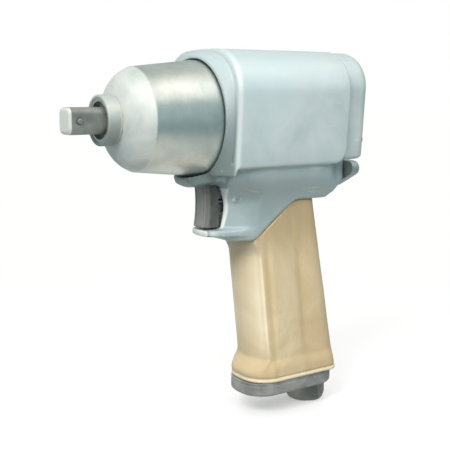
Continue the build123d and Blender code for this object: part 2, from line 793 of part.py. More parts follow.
plate_side = 0.8         # how far the end plate stands in from the grip's foot
plate_front = 0.4
plate_rear = 2.2
plate_corner = 14.0
inlet_shank = 8.4
inlet_port = 5.6
inlet_port_depth = 12.0
inlet_throat = 4.7
inlet_hex = 11.2         # corner radius of the hexagon, and the radius its corners are turned to
inlet_turned = 10.5
slot_pitch = 3.6         # exhaust slots
slot_y = 102.0
slot_length = 16.0
slot_width = 1.9
slot_count = 4
plate_head_radius = 2.9
plate_head_height = 2.3
plate_screw_radius = 1.5
plate_screw_length = 13.0
with BuildPart() as end_plate:
    front = grip_front(GRIP_BOTTOM) - FLARE_LEAD * GRIP_FLARE + plate_front
    rear = grip_rear(GRIP_BOTTOM) + FLARE_REAR * GRIP_FLARE - plate_rear
    half = GRIP_HALF_WIDTH + FLARE_SIDE * GRIP_FLARE - plate_side
    with BuildSketch(level(END_PLATE_BOTTOM)):
        with Locations((0, (front + rear) / 2)):
            RectangleRounded(2 * half, rear - front, plate_corner)
    extrude(amount=GRIP_BOTTOM - 0.1 - END_PLATE_BOTTOM)
    fillet(end_plate.faces().sort_by(Axis.Z)[0].edges(), 1.6)
    with BuildSketch(level(END_PLATE_BOTTOM - 1)):
        with Locations((0, INLET_Y)):
            Circle(inlet_shank + 0.2)
        with Locations((0, slot_y)):
            with GridLocations(0, slot_pitch, 1, slot_count):
                SlotOverall(slot_length, slot_width)
    extrude(amount=12, mode=Mode.SUBTRACT)
    for side in (1, -1):
        with Locations((side * plate_screw_x, plate_screw_y, END_PLATE_BOTTOM)):
            Cylinder(plate_screw_radius + 0.2, 20, mode=Mode.SUBTRACT)
            Cylinder(plate_head_radius + 0.2, 5, mode=Mode.SUBTRACT)
save(end_plate, "end_plate")

with BuildPart() as end_plate_screws:
    under_head = END_PLATE_BOTTOM + 2.5 - SEAT
    for x in (plate_screw_x, -plate_screw_x):
        base = under_head - plate_head_height
        upright(plate_head_radius, plate_head_height, x, plate_screw_y, base, Mode.ADD)
        upright(plate_screw_radius, plate_screw_length, x, plate_screw_y, under_head, Mode.ADD)
        with Locations((x, plate_screw_y, END_PLATE_BOTTOM)):
            Box(4.4, 0.8, 2.4, mode=Mode.SUBTRACT)
save(end_plate_screws, "end_plate_screws")

with BuildPart() as exhaust_muffler:
    exhaust_room(GRIP_BOTTOM + 16, 0.15, Mode.ADD)
save(exhaust_muffler, "exhaust_muffler")

with BuildPart() as inlet_bushing:
    with BuildSketch(level(INLET_BOTTOM)):
        with Locations((0, INLET_Y)):
            RegularPolygon(inlet_hex, 6, rotation=30)
    extrude(amount=END_PLATE_BOTTOM - 0.1 - INLET_BOTTOM)
    with BuildSketch(level(INLET_BOTTOM)):
        with Locations((0, INLET_Y)):
            Circle(inlet_turned)
    extrude(amount=12, mode=Mode.INTERSECT)
    upright(inlet_shank, 23, 0, INLET_Y, END_PLATE_BOTTOM - 0.2, Mode.ADD)
    with Locations((0, INLET_Y, INLET_BOTTOM)):
        Cylinder(inlet_port, 2 * inlet_port_depth, mode=Mode.SUBTRACT)
        Cylinder(inlet_throat, 80, mode=Mode.SUBTRACT)
save(inlet_bushing, "inlet_bushing")

screen_height = 12.0
screen_wall = 0.6
with BuildPart() as inlet_screen:
    screen_base = INLET_BOTTOM + inlet_port_depth + 2
    screen_top = screen_base + screen_height
    with BuildSketch(Plane.YZ) as screen_profile:
        with BuildLine():
            Polyline(
                (INLET_Y, screen_top),
                (INLET_Y + 3.2, screen_top),
                (INLET_Y + 4.6, screen_base),
                (INLET_Y + 4.6 - screen_wall, screen_base),
                (INLET_Y + 2.7, screen_top - screen_wall),
                (INLET_Y, screen_top - screen_wall),
                close=True,
            )
        make_face()
    revolve(axis=Axis((0, INLET_Y, 0), (0, 0, 1)))
save(inlet_screen, "inlet_screen")

# ---- Trigger and throttle --------------------------------------------------------------
stem_radius = 1.5
valve_start = 84.0
valve_thickness = 3.0
valve_radius = 4.6
guide_radius = 1.8       # stub behind the valve that centres its spring
seat_start = 80.0
seat_bore = 3.2
spring_end = throttle_end - 0.2

with BuildPart() as trigger:
    with BuildSketch(Plane.YZ.offset(-TRIGGER_HALF_WIDTH)):
        with BuildLine():
            face = ThreePointArc(
                (TRIGGER_FRONT + 0.6, TRIGGER_TOP),
                (TRIGGER_FRONT + 1.2, (TRIGGER_TOP + TRIGGER_BOTTOM) / 2),
                (TRIGGER_FRONT, TRIGGER_BOTTOM),
            )
            Polyline(face @ 1, (TRIGGER_BACK, TRIGGER_BOTTOM), (TRIGGER_BACK, TRIGGER_TOP), face @ 0)
        make_face()
    extrude(amount=2 * TRIGGER_HALF_WIDTH)
    fillet(trigger.faces().sort_by(Axis.Y)[0].edges(), 1.6)
save(trigger, "trigger")

with BuildPart() as trigger_stem:
    rod(stem_radius, TRIGGER_BACK + SEAT, valve_start - 0.05, z=THROTTLE_Z)
save(trigger_stem, "trigger_stem")

with BuildPart() as trigger_bushing:
    rod(THROTTLE_BORE - SEAT, POCKET_FLOOR, 75.5, z=THROTTLE_Z)
    cut_bore(stem_radius + RUNNING, POCKET_FLOOR - 0.1, 76, z=THROTTLE_Z)
    with BuildSketch(Plane.YZ.offset(-20)):
        with Locations((pin_y, pin_z)):
            Circle(pin_radius + SEAT)
    extrude(amount=40, mode=Mode.SUBTRACT)
save(trigger_bushing, "trigger_bushing")

with BuildPart() as bushing_pin:
    with BuildSketch(Plane.YZ.offset(-pin_half_length)):
        with Locations((pin_y, pin_z)):
            Circle(pin_radius)
    extrude(amount=2 * pin_half_length)
save(bushing_pin, "bushing_pin")

with BuildPart() as valve_seat:
    rod(THROTTLE_BORE - SEAT, seat_start, valve_start - 0.1, z=THROTTLE_Z)
    cut_bore(seat_bore, seat_start - 0.1, valve_start, z=THROTTLE_Z)
save(valve_seat, "valve_seat")

with BuildPart() as throttle_valve:
    rod(valve_radius, valve_start, valve_start + valve_thickness, z=THROTTLE_Z)
    rod(guide_radius, valve_start + valve_thickness - 0.1, valve_start + 9, z=THROTTLE_Z)
save(throttle_valve, "throttle_valve")

with BuildPart() as throttle_spring:
    coil(
        3.2,
        0.5,
        2.6,
        (0, valve_start + valve_thickness + 0.6, THROTTLE_Z),
        (0, spring_end - 0.6, THROTTLE_Z),
    )
save(throttle_spring, "throttle_spring")

# ---- Reverse valve ---------------------------------------------------------------------
dimple_depth = 0.9
with BuildPart() as reverse_bushing:
    rod(REVERSE_BUSH_RADIUS - SEAT, REVERSE_START + 0.1, web_rear - 0.3, z=REVERSE_Z)
    cut_bore(REVERSE_VALVE_RADIUS + RUNNING, REVERSE_START, COVER_REAR, z=REVERSE_Z)
    for y in (feed_y, port_y):
        with Locations((0, y, REVERSE_Z)):
            Cylinder(2.2, 12, mode=Mode.SUBTRACT)
save(reverse_bushing, "reverse_bushing")

with BuildPart() as reverse_valve:
    rod(REVERSE_VALVE_RADIUS, REVERSE_START + 0.4, LEVER_START + 2.4, z=REVERSE_Z)
    with Locations((0, (feed_y + port_y) / 2, REVERSE_Z)):
        Box(2.4, 17, 8, mode=Mode.SUBTRACT)
        Box(8, 12, 2.4, mode=Mode.SUBTRACT)
    cut_bore(1.25, LEVER_START - 6, LEVER_START + 4, z=REVERSE_Z)
save(reverse_valve, "reverse_valve")

lever_lift = 11.0        # degrees the lever points above the horizontal in its forward position
screw_head = 2.7
screw_shank = 1.2
screw_sink = 1.9         # depth of the recess the screw's head sits in
with BuildPart() as reverse_lever:
    with BuildSketch(across(LEVER_START)):
        with Locations((0, REVERSE_Z)):
            Circle(LEVER_HUB)
            with PolarLocations(LEVER_REACH, 1, start_angle=lever_lift):
                Circle(LEVER_TIP)
        make_hull()
    extrude(amount=LEVER_START - LEVER_END)
    fillet(reverse_lever.faces().sort_by(Axis.Y)[-1].edges(), 1.3)
    cut_bore(REVERSE_VALVE_RADIUS + SEAT, LEVER_START - 0.1, LEVER_START + 2.5, z=REVERSE_Z)
    cut_bore(screw_shank + 0.4, LEVER_START, LEVER_END + 1, z=REVERSE_Z)
    cut_bore(screw_head + 0.2, LEVER_END - screw_sink, LEVER_END + 1, z=REVERSE_Z)
    for x, z in ((0, -dimple_offset), (-dimple_offset, 0)):
        cut_bore(ball_size + 0.1, LEVER_START - 0.1, LEVER_START + dimple_depth, x=x, z=REVERSE_Z + z)
save(reverse_lever, "reverse_lever")

with BuildPart() as lever_screw:
    rod(screw_head, LEVER_END - screw_sink + SEAT, LEVER_END - 0.3, z=REVERSE_Z)
    rod(screw_shank, LEVER_START - 4, LEVER_END - 1.8, z=REVERSE_Z)
    with BuildSketch(across(LEVER_END - 1.2)):
        with Locations((0, REVERSE_Z)):
            Rectangle(5.6, 0.7)
    extrude(amount=-2, mode=Mode.SUBTRACT)
save(lever_screw, "lever_screw")

with BuildPart() as detent_ball:
    with Locations((-dimple_offset, LEVER_START - ball_size - RUNNING, REVERSE_Z)):
        Sphere(ball_size)
save(detent_ball, "detent_ball")

with BuildPart() as detent_spring:
    coil(
        0.85,
        0.18,
        0.7,
        (-dimple_offset, detent_bore_end + 0.3, REVERSE_Z),
        (-dimple_offset, LEVER_START - 2.75, REVERSE_Z),
    )
save(detent_spring, "detent_spring")
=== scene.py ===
import itertools
import math

import bpy
import numpy as np
from mathutils import Matrix, Vector


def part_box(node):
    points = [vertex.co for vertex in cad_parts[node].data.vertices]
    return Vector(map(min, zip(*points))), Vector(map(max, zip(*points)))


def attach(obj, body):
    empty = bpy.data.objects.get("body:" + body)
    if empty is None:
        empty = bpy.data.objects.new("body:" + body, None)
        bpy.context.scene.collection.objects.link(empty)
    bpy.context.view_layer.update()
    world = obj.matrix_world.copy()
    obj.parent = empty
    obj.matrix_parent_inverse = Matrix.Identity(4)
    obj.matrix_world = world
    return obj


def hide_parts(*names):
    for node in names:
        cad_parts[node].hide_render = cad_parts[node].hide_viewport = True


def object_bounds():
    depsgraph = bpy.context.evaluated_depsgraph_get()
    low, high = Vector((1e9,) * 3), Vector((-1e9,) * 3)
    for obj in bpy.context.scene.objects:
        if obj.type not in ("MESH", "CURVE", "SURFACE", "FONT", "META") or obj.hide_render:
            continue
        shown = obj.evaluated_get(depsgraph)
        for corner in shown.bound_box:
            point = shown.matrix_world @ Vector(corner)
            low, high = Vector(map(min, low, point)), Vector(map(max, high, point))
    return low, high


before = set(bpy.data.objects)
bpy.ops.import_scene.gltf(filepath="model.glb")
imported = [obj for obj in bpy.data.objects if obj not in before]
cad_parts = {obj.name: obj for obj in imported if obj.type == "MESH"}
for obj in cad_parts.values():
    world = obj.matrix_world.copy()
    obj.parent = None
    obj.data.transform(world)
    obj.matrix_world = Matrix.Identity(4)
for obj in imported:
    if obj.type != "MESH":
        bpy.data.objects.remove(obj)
cad_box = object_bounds()
MM = 0.001

# The handle leans back: its front and rear lines at RAKE_Z, and their shift per unit of drop.
RAKE_Z = -50.0
FRONT_RAKE = 0.107
REAR_RAKE = 0.182
HANDLE_FRONT = 77.7
HANDLE_REAR = 125.0


def span(node):
    """Lowest and highest corner of a CAD node in millimetres."""
    low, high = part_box(node)
    return np.array(low) / MM, np.array(high) / MM


# ---- Distance fields -------------------------------------------------------------------
# Cast and moulded pieces are written as signed distances in millimetres (negative inside)
# on a regular grid.  Blends between them are true fillets, and the skin is a closed mesh.
class Grid:
    def __init__(self, low, high, step):
        self.low = np.array(low, float)
        self.step = step
        self.shape = tuple(np.ceil((np.array(high) - self.low) / step).astype(int) + 1)
        axes = [self.low[i] + step * np.arange(self.shape[i]) for i in range(3)]
        self.x = axes[0].astype(np.float32)[:, None, None]
        self.y = axes[1].astype(np.float32)[None, :, None]
        self.z = axes[2].astype(np.float32)[None, None, :]
        self.ax = np.abs(self.x)


def meet(a, b, r=0.0):
    """Intersection of two fields, its edge rounded to radius r."""
    if not r:
        return np.maximum(a, b)
    u = np.maximum(a + r, 0)
    v = np.maximum(b + r, 0)
    return np.minimum(np.maximum(a, b), -r) + np.sqrt(u * u + v * v)


def join(a, b, r=0.0):
    """Union of two fields with a fillet of radius r."""
    if not r:
        return np.minimum(a, b)
    u = np.maximum(r - a, 0)
    v = np.maximum(r - b, 0)
    return np.maximum(np.minimum(a, b), r) - np.sqrt(u * u + v * v)


def cut(a, b, r=0.0):
    """Field a without field b, the new edge rounded to radius r."""
    return meet(a, -b, r)


def between(value, low, high):
    return np.maximum(low - value, value - high)


def step_up(value, start, end):
    """0 below start, 1 above end, smooth between."""
    t = np.clip((value - start) / (end - start), 0, 1)
    return t * t * (3 - 2 * t)


def polygon(u, v, points):
    """Signed distance to a closed polygon."""
    u, v = np.broadcast_arrays(u, v)
    best = np.full(u.shape, 1e9, np.float32)
    inside = np.zeros(u.shape, bool)
    for (au, av), (bu, bv) in zip(points, points[1:] + points[:1]):
        eu, ev = bu - au, bv - av
        if eu * eu + ev * ev < 1e-12:
            continue
        wu, wv = u - au, v - av
        t = np.clip((wu * eu + wv * ev) / (eu * eu + ev * ev), 0, 1)
        best = np.minimum(best, (wu - eu * t) ** 2 + (wv - ev * t) ** 2)
        if abs(ev) > 1e-9:
            inside ^= ((av > v) != (bv > v)) & (wu < wv * (eu / ev))
    best = np.sqrt(best)
    return np.where(inside, -best, best)


def rounded(corners, steps=8):
    """Polygon from (u, v, radius) corners with an arc at each corner."""
    out = []
    for i, (u, v, r) in enumerate(corners):
        p = Vector((u, v))
        if r <= 0:
            out.append((u, v))
            continue
        before = (Vector(corners[i - 1][:2]) - p).normalized()
        after = (Vector(corners[(i + 1) % len(corners)][:2]) - p).normalized()
        half = math.acos(max(-1, min(1, before.dot(after)))) / 2
        middle = p + (before + after).normalized() * (r / math.sin(half))
        first = p + before * (r / math.tan(half)) - middle
        last = p + after * (r / math.tan(half)) - middle
        turn = first.angle_signed(last)
        for k in range(steps + 1):
            arm = first.copy()
            arm.rotate(Matrix.Rotation(-turn * k / steps, 2))
            out.append(tuple(middle + arm))
    return out


def spline(points, steps=8):
    """Smooth curve through points."""
    p = [np.array(q, float) for q in points]
    p = [2 * p[0] - p[1]] + p + [2 * p[-1] - p[-2]]
    out = []
    for i in range(1, len(p) - 2):
        a, b, c, d = p[i - 1 : i + 3]
        for t in np.arange(steps) / steps:
            out.append(
                0.5
                * (
                    2 * b
                    + (c - a) * t
                    + (2 * a - 5 * b + 4 * c - d) * t**2
                    + (3 * b - a - 3 * c + d) * t**3
                )
            )
    return [tuple(q) for q in out] + [tuple(p[-2])]


def box2(u, v, half_u, half_v, r):
    """Rounded rectangle centred on u = v = 0."""
    qu = np.abs(u) - (half_u - r)
    qv = np.abs(v) - (half_v - r)
    return np.sqrt(np.maximum(qu, 0) ** 2 + np.maximum(qv, 0) ** 2) + np.minimum(np.maximum(qu, qv), 0) - r


def bar(g, radius, x=0.0, z=0.0):
    """Endless round bar along the drive direction."""
    return np.sqrt((g.x - x) ** 2 + (g.z - z) ** 2) - radius


def post(g, radius, x=0.0, y=0.0):
    """Endless upright round bar."""
    return np.sqrt((g.x - x) ** 2 + (g.y - y) ** 2) - radius


def sample(f, p):
    """Field values at points given in grid steps."""
    top = np.array(f.shape) - 1.001
    p = np.clip(p, 0, top)
    base = p.astype(int)
    t = p - base
    total = 0
    for corner in itertools.product((0, 1), repeat=3):
        weight = np.prod([t[:, i] if corner[i] else 1 - t[:, i] for i in range(3)], axis=0)
        at = base + np.array(corner)
        total = total + weight * f[at[:, 0], at[:, 1], at[:, 2]]
    return total


def slope(f, p):
    reach = 0.7
    parts = []
    for i in range(3):
        move = np.zeros(3)
        move[i] = reach
        parts.append((sample(f, p + move) - sample(f, p - move)) / (2 * reach))
    return np.stack(parts, 1)


def fill_mesh(mesh, points, faces):
    mesh.vertices.add(len(points))
    mesh.vertices.foreach_set("co", np.asarray(points, np.float32).ravel())
    mesh.loops.add(faces.size)
    mesh.loops.foreach_set("vertex_index", faces.ravel().astype(np.int32))
    mesh.polygons.add(len(faces))
    mesh.polygons.foreach_set("loop_start", np.arange(0, faces.size, faces.shape[1], dtype=np.int32))
    mesh.update(calc_edges=True)


def thinned(points, faces, triangles):
    """The mesh reduced to about that many triangles, flat areas first."""
    mesh = bpy.data.meshes.new("thin")
    fill_mesh(mesh, points, faces)
    helper = bpy.data.objects.new("thin", mesh)
    bpy.context.scene.collection.objects.link(helper)
    modifier = helper.modifiers.new("thin", "DECIMATE")
    modifier.ratio = min(1.0, triangles / (2 * len(faces)))
    modifier.use_collapse_triangulate = True
    shown = helper.evaluated_get(bpy.context.evaluated_depsgraph_get())
    result = bpy.data.meshes.new_from_object(shown)
    out = np.zeros(len(result.vertices) * 3, np.float32)
    result.vertices.foreach_get("co", out)
    corners = np.zeros(len(result.loops), np.int32)
    result.loops.foreach_get("vertex_index", corners)
    bpy.data.objects.remove(helper)
    bpy.data.meshes.remove(mesh)
    bpy.data.meshes.remove(result)
    return out.reshape(-1, 3), corners.reshape(-1, 3)


def skin(g, field, triangles):
    """Points, faces and normals of the zero surface of a field, in millimetres."""
    f = np.ascontiguousarray(np.broadcast_to(field, g.shape), np.float32)
    inside = f < 0
    some = np.zeros(tuple(n - 1 for n in f.shape), bool)
    every = ~some
    for c in itertools.product((0, 1), repeat=3):
        part = inside[tuple(slice(c[i], f.shape[i] - 1 + c[i]) for i in range(3))]
        some |= part
        every &= part
    cells = some & ~every
    index = np.argwhere(cells)
    number = np.full(cells.shape, -1, np.int32)
    number[cells] = np.arange(len(index))
    total = np.zeros((len(index), 3))
    hits = np.zeros(len(index))
    for axis in range(3):
        for c in itertools.product((0, 1), repeat=2):
            a = np.insert(np.array(c), axis, 0)
            b = np.insert(np.array(c), axis, 1)
            fa = f[tuple((index + a).T)]
            fb = f[tuple((index + b).T)]
            crossed = (fa < 0) != (fb < 0)
            t = np.where(crossed, fa / np.where(crossed, fa - fb, 1), 0)
            total += crossed[:, None] * (a + t[:, None] * (b - a))
            hits += crossed
    points = index + total / hits[:, None]
    faces = []
    for axis in range(3):
        u, v = (axis + 1) % 3, (axis + 2) % 3
        low = [slice(1, -1)] * 3
        high = [slice(1, -1)] * 3
        low[axis], high[axis] = slice(0, -1), slice(1, None)
        low, high = inside[tuple(low)], inside[tuple(high)]
        start = np.ones(3, int)
        start[axis] = 0
        edge = np.argwhere(low != high) + start
        outward = low[low != high]
        ring = []
        for du, dv in ((-1, -1), (0, -1), (0, 0), (-1, 0)):
            move = np.zeros(3, int)
            move[u], move[v] = du, dv
            ring.append(number[tuple((edge + move).T)])
        quad = np.stack(ring, 1)
        faces.append(np.where(outward[:, None], quad, quad[:, ::-1]))
    faces = np.concatenate(faces)
    for _ in range(3):
        d = sample(f, points)
        n = slope(f, points)
        points = points - np.clip(d / np.maximum((n * n).sum(1), 1e-3), -0.6, 0.6)[:, None] * n
    if triangles < 2 * len(faces):
        points, faces = thinned(points, faces, triangles)
    n = slope(f, points)
    n /= np.maximum(np.linalg.norm(n, axis=1), 1e-6)[:, None]
    return g.low + points * g.step, faces, n


def finish_piece(obj, body, material, nodes):
    obj.data.materials.append(material)
    bpy.context.scene.collection.objects.link(obj)
    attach(obj, body)
    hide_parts(*nodes)
    return obj


def skinned(name, skins, body, material, nodes):
    """Object made of one or more skins, each (points, faces, normals)."""
    faces, base = [], 0
    for points, f, _ in skins:
        faces.append(f + base)
        base += len(points)
    mesh = bpy.data.meshes.new(name)
    fill_mesh(mesh, np.concatenate([s[0] for s in skins]) * MM, np.concatenate(faces))
    mesh.polygons.foreach_set("use_smooth", np.ones(len(mesh.polygons), bool))
    normals = np.concatenate([s[2] for s in skins]).astype(np.float32)
    mesh.normals_split_custom_set_from_vertices(normals)
    return finish_piece(bpy.data.objects.new(name, mesh), body, material, nodes)


def lathe(name, outline, segments, body, material, nodes):
    """Closed (along, radius) outline in millimetres turned about the drive axis."""
    axis = Vector((0, 1, 0))
    side = axis.orthogonal().normalized()
    other = axis.cross(side)
    ring = len(outline)
    points = []
    for k in range(segments):
        a = 2 * math.pi * k / segments
        out = side * math.cos(a) + other * math.sin(a)
        points += [(axis * u + out * r) * MM for u, r in outline]
    faces = []
    for k in range(segments):
        here, there = k * ring, (k + 1) % segments * ring
        for i in range(ring):
            j = (i + 1) % ring
            faces.append((here + i, here + j, there + j, there + i))
    mesh = bpy.data.meshes.new(name)
    mesh.from_pydata(points, [], faces)
    mesh.polygons.foreach_set("use_smooth", np.ones(len(mesh.polygons), bool))
    mesh.set_sharp_from_angle(angle=math.radians(24))
    return finish_piece(bpy.data.objects.new(name, mesh), body, material, nodes)


# ---- Materials -------------------------------------------------------------------------
def colour(r, g, b):
    """Linear colour from sRGB 0-255."""
    return [((c / 255 + 0.055) / 1.055) ** 2.4 for c in (r, g, b)] + [1.0]


class Finish:
    """A Principled material built from nodes."""

    def __init__(self, name):
        self.material = bpy.data.materials.new(name)
        self.material.use_nodes = True
        self.tree = self.material.node_tree
        self.shader = self.tree.nodes["Principled BSDF"]
        self.place = self.add("ShaderNodeTexCoord").outputs["Object"]

    def add(self, kind, **settings):
        node = self.tree.nodes.new(kind)
        for key, value in settings.items():
            setattr(node, key, value)
        return node

    def put(self, socket, value):
        if isinstance(value, bpy.types.NodeSocket):
            self.tree.links.new(value, socket)
        elif hasattr(socket.default_value, "__len__") and not hasattr(value, "__len__"):
            socket.default_value = [value] * len(socket.default_value)
        else:
            socket.default_value = value

    def set(self, **values):
        for key, value in values.items():
            self.put(self.shader.inputs[key.replace("_", " ")], value)
        return self

    def current(self, name):
        """What feeds an input of the shader now."""
        return self.shader.inputs[name].links[0].from_socket

    def product(self, a, b):
        return self.math("MULTIPLY", a, b)

    def distance_to(self, value, middle):
        return self.math("ABSOLUTE", self.math("SUBTRACT", value, middle))

    def stretch(self, x, y, z):
        node = self.add("ShaderNodeMapping")
        self.put(node.inputs["Vector"], self.place)
        node.inputs["Scale"].default_value = (x, y, z)
        return node.outputs[0]

    def noise(self, scale, detail=3.0, rough=0.55, place=None, warp=0.0):
        node = self.add("ShaderNodeTexNoise")
        self.put(node.inputs["Vector"], place or self.place)
        node.inputs["Scale"].default_value = scale
        node.inputs["Detail"].default_value = detail
        node.inputs["Roughness"].default_value = rough
        node.inputs["Distortion"].default_value = warp
        return node.outputs["Fac"]

    def cells(self, scale):
        node = self.add("ShaderNodeTexVoronoi")
        self.put(node.inputs["Vector"], self.place)
        node.inputs["Scale"].default_value = scale
        return node.outputs["Distance"]

    def math(self, operation, a, b=0.0):
        node = self.add("ShaderNodeMath", operation=operation)
        self.put(node.inputs[0], a)
        self.put(node.inputs[1], b)
        return node.outputs[0]

    def remap(self, value, low, high, new_low, new_high, smooth=False):
        curve = "SMOOTHSTEP" if smooth else "LINEAR"
        node = self.add("ShaderNodeMapRange", interpolation_type=curve)
        for socket, v in zip(node.inputs, (value, low, high, new_low, new_high)):
            self.put(socket, v)
        return node.outputs[0]

    def mix(self, share, a, b):
        node = self.add("ShaderNodeMix", data_type="RGBA")
        self.put(node.inputs["Factor"], share)
        self.put([s for s in node.inputs if s.name == "A"][2], a)
        self.put([s for s in node.inputs if s.name == "B"][2], b)
        return [s for s in node.outputs if s.name == "Result"][2]

    def part(self, axis):
        node = self.add("ShaderNodeSeparateXYZ")
        self.put(node.inputs[0], self.place)
        return node.outputs[axis]

    def facing(self, axis):
        node = self.add("ShaderNodeSeparateXYZ")
        self.put(node.inputs[0], self.add("ShaderNodeNewGeometry").outputs["Normal"])
        return node.outputs[axis]

    def bump(self, height, distance, strength, before=None):
        node = self.add("ShaderNodeBump")
        node.inputs["Strength"].default_value = strength
        node.inputs["Distance"].default_value = distance
        self.put(node.inputs["Height"], height)
        if before is not None:
            self.put(node.inputs["Normal"], before)
        return node.outputs[0]


def cast_finish(name, light, dark, rough):
    """Satin paint over a fine cast surface: mottled tone, grain and a few faint scuffs, with painted shade
    and painted highlights.
    """
    f = Finish(name)
    mottle = f.noise(38, 4, 0.6, warp=0.6)
    wash = f.noise(14, 2, 0.5)
    tone = f.mix(f.remap(mottle, 0.3, 0.7, 0, 1), colour(*dark), colour(*light))
    cool = [c * k for c, k in zip(colour(*light)[:3], (0.88, 0.96, 1.0))] + [1.0]
    tone = f.mix(f.remap(wash, 0.42, 0.68, 0, 0.8), tone, cool)
    # painted shade: darker and bluer towards the underside
    low = f.remap(f.part(2), -38 * MM, -6 * MM, 0.62, 0, smooth=True)
    tone = f.mix(low, tone, colour(150, 171, 171))
    # painted highlight: a pale band along the panel's front edge
    band = f.distance_to(f.part(1), 59.3 * MM)
    band = f.remap(band, 0.2 * MM, 1.9 * MM, 0.65, 0)
    band = f.product(band, f.remap(f.part(2), -25 * MM, -23 * MM, 0, 1))
    tone = f.mix(band, tone, colour(238, 243, 241))
    # painted shade: the flange ahead of it is darker, most of all low down
    fore = f.remap(f.part(1), 57.0 * MM, 58.4 * MM, 1, 0, smooth=True)
    fore = f.product(fore, f.remap(f.part(2), -24 * MM, 30 * MM, 1.0, 0.2, smooth=True))
    tone = f.mix(fore, tone, colour(128, 142, 140))
    # painted shade: upward-facing faces are toned darker
    above = f.remap(f.facing(2), 0.15, 0.85, 0, 0.6, smooth=True)
    tone = f.mix(above, tone, colour(176, 192, 192))
    # painted highlight on the forward-facing edge round the trigger opening
    edge = f.remap(f.facing(1), -0.8, -0.55, 1, 0, smooth=True)
    edge = f.product(edge, f.remap(f.part(2), -34.5 * MM, -35.5 * MM, 0, 0.9))
    tone = f.mix(edge, tone, colour(240, 243, 240))
    # painted shade: darker in crevices and recesses
    crevice_shade = f.add("ShaderNodeAmbientOcclusion", samples=4, only_local=True)
    crevice_shade.inputs["Distance"].default_value = 1.6 * MM
    tone = f.mix(f.remap(crevice_shade.outputs["AO"], 0.35, 0.9, 0.75, 0), tone, colour(74, 88, 90))
    scuff = f.noise(300, 2, 0.5, f.stretch(1, 0.16, 1))
    scuff = f.remap(scuff, 0.69, 0.74, 0, 0.3)
    tone = f.mix(scuff, tone, colour(228, 233, 230))
    grain = f.noise(1500, 3, 0.6)
    skin_of_cast = f.noise(260, 3, 0.5)
    normal = f.bump(skin_of_cast, 0.00022, 0.5)
    normal = f.bump(grain, 0.00005, 0.5, normal)
    f.set(Base_Color=tone, Metallic=0.22)
    f.set(Roughness=f.remap(mottle, 0.3, 0.7, rough - 0.05, rough + 0.07))
    f.set(Coat_Weight=0.5, Coat_Roughness=0.24, Normal=normal)
    return f.material


def steel_finish(name, tone_light, tone_dark, rough, turned, metallic=1.0):
    """Machined steel: turning lines across the drive axis, stains and small scratches."""
    f = Finish(name)
    stain = f.noise(60, 4, 0.6, warp=0.4)
    tone = f.mix(f.remap(stain, 0.35, 0.7, 0, 1), colour(*tone_light), colour(*tone_dark))
    lines = f.noise(1.0, 3, 0.65, f.stretch(8, 4200, 8))
    scratch = f.noise(700, 2, 0.5, f.stretch(0.3, 1, 0.2))
    normal = f.bump(lines, 0.00004 * turned, 1.0)
    normal = f.bump(scratch, 0.00004, 0.4, normal)
    spread = f.remap(stain, 0.3, 0.7, rough - 0.04, rough + 0.06)
    spread = f.math("ADD", f.remap(lines, 0.3, 0.7, -0.05, 0.05), spread)
    f.set(Base_Color=tone, Metallic=metallic, Roughness=spread, Normal=normal)
    return f


def soft_finish(name, light, dark, scale, rough, depth=0.00005):
    """Plain moulded, sintered or pressed stock with a fine tooth."""
    f = Finish(name)
    tone = f.mix(f.remap(f.noise(scale, 4, 0.6), 0.35, 0.65, 0, 1), colour(*light), colour(*dark))
    normal = f.bump(f.noise(scale * 9, 3, 0.6), depth, 0.7)
    spread = f.remap(f.noise(scale * 2), 0.3, 0.7, rough - 0.07, rough + 0.07)
    f.set(Base_Color=tone, Roughness=spread, Normal=normal)
    return f


cast_paint = cast_finish("cast_paint", (213, 221, 219), (181, 196, 197), 0.40)
cover_paint = cast_finish("cover_paint", (204, 213, 211), (180, 194, 195), 0.44)

case = steel_finish("case_steel", (229, 231, 225), (197, 206, 203), 0.30, turned=1.0)
dome_share = case.remap(case.part(1), 17.6 * MM, 18.4 * MM, 1, 0)
case.set(Roughness=case.math("ADD", case.current("Roughness"), case.product(dome_share, 0.16)))
case.set(Metallic=case.remap(dome_share, 0, 1, 1.0, 0.5))
# painted shade: the nose collar is toned darker, most of all low down
collar_share = case.remap(case.part(1), 6.0 * MM, 6.8 * MM, 1, 0)
collar_shade = case.product(collar_share, case.remap(case.part(2), -9 * MM, 6 * MM, 0.85, 0.35, smooth=True))
case.set(Base_Color=case.mix(collar_shade, case.current("Base Color"), colour(138, 146, 142)))
case_steel = case.material

drive = steel_finish("drive_steel", (170, 172, 166), (124, 127, 122), 0.45, turned=0.6, metallic=0.6)
ground = drive.remap(drive.part(1), -16.05 * MM, -15.75 * MM, 1, 0)
drive.set(Base_Color=drive.mix(ground, drive.current("Base Color"), colour(236, 236, 228)))
drive_steel = drive.material

dark_steel = steel_finish("dark_steel", (140, 143, 139), (102, 105, 103), 0.42, 0.3, 0.85).material
lever_steel = steel_finish("lever_steel", (178, 188, 186), (148, 158, 157), 0.4, 0.2, 0.7).material
machined_steel = steel_finish("machined_steel", (196, 198, 196), (170, 173, 172), 0.28, 0.8).material
bearing_steel = steel_finish("bearing_steel", (214, 216, 216), (196, 199, 200), 0.14, 0.1).material
bronze = steel_finish("bronze", (186, 140, 84), (150, 106, 58), 0.36, 0.5).material
vane_stock = soft_finish("vane_stock", (120, 86, 52), (92, 64, 38), 300, 0.6).material
gasket_sheet = soft_finish("gasket_sheet", (84, 88, 82), (62, 66, 62), 400, 0.85).material
felt = soft_finish("felt", (146, 140, 126), (112, 106, 94), 500, 0.95, 0.0002).material

plate = soft_finish("plate_zinc", (168, 168, 165), (128, 129, 127), 90, 0.5, 0.00006)
plate.set(Metallic=0.35)
end_plate_finish = plate.material

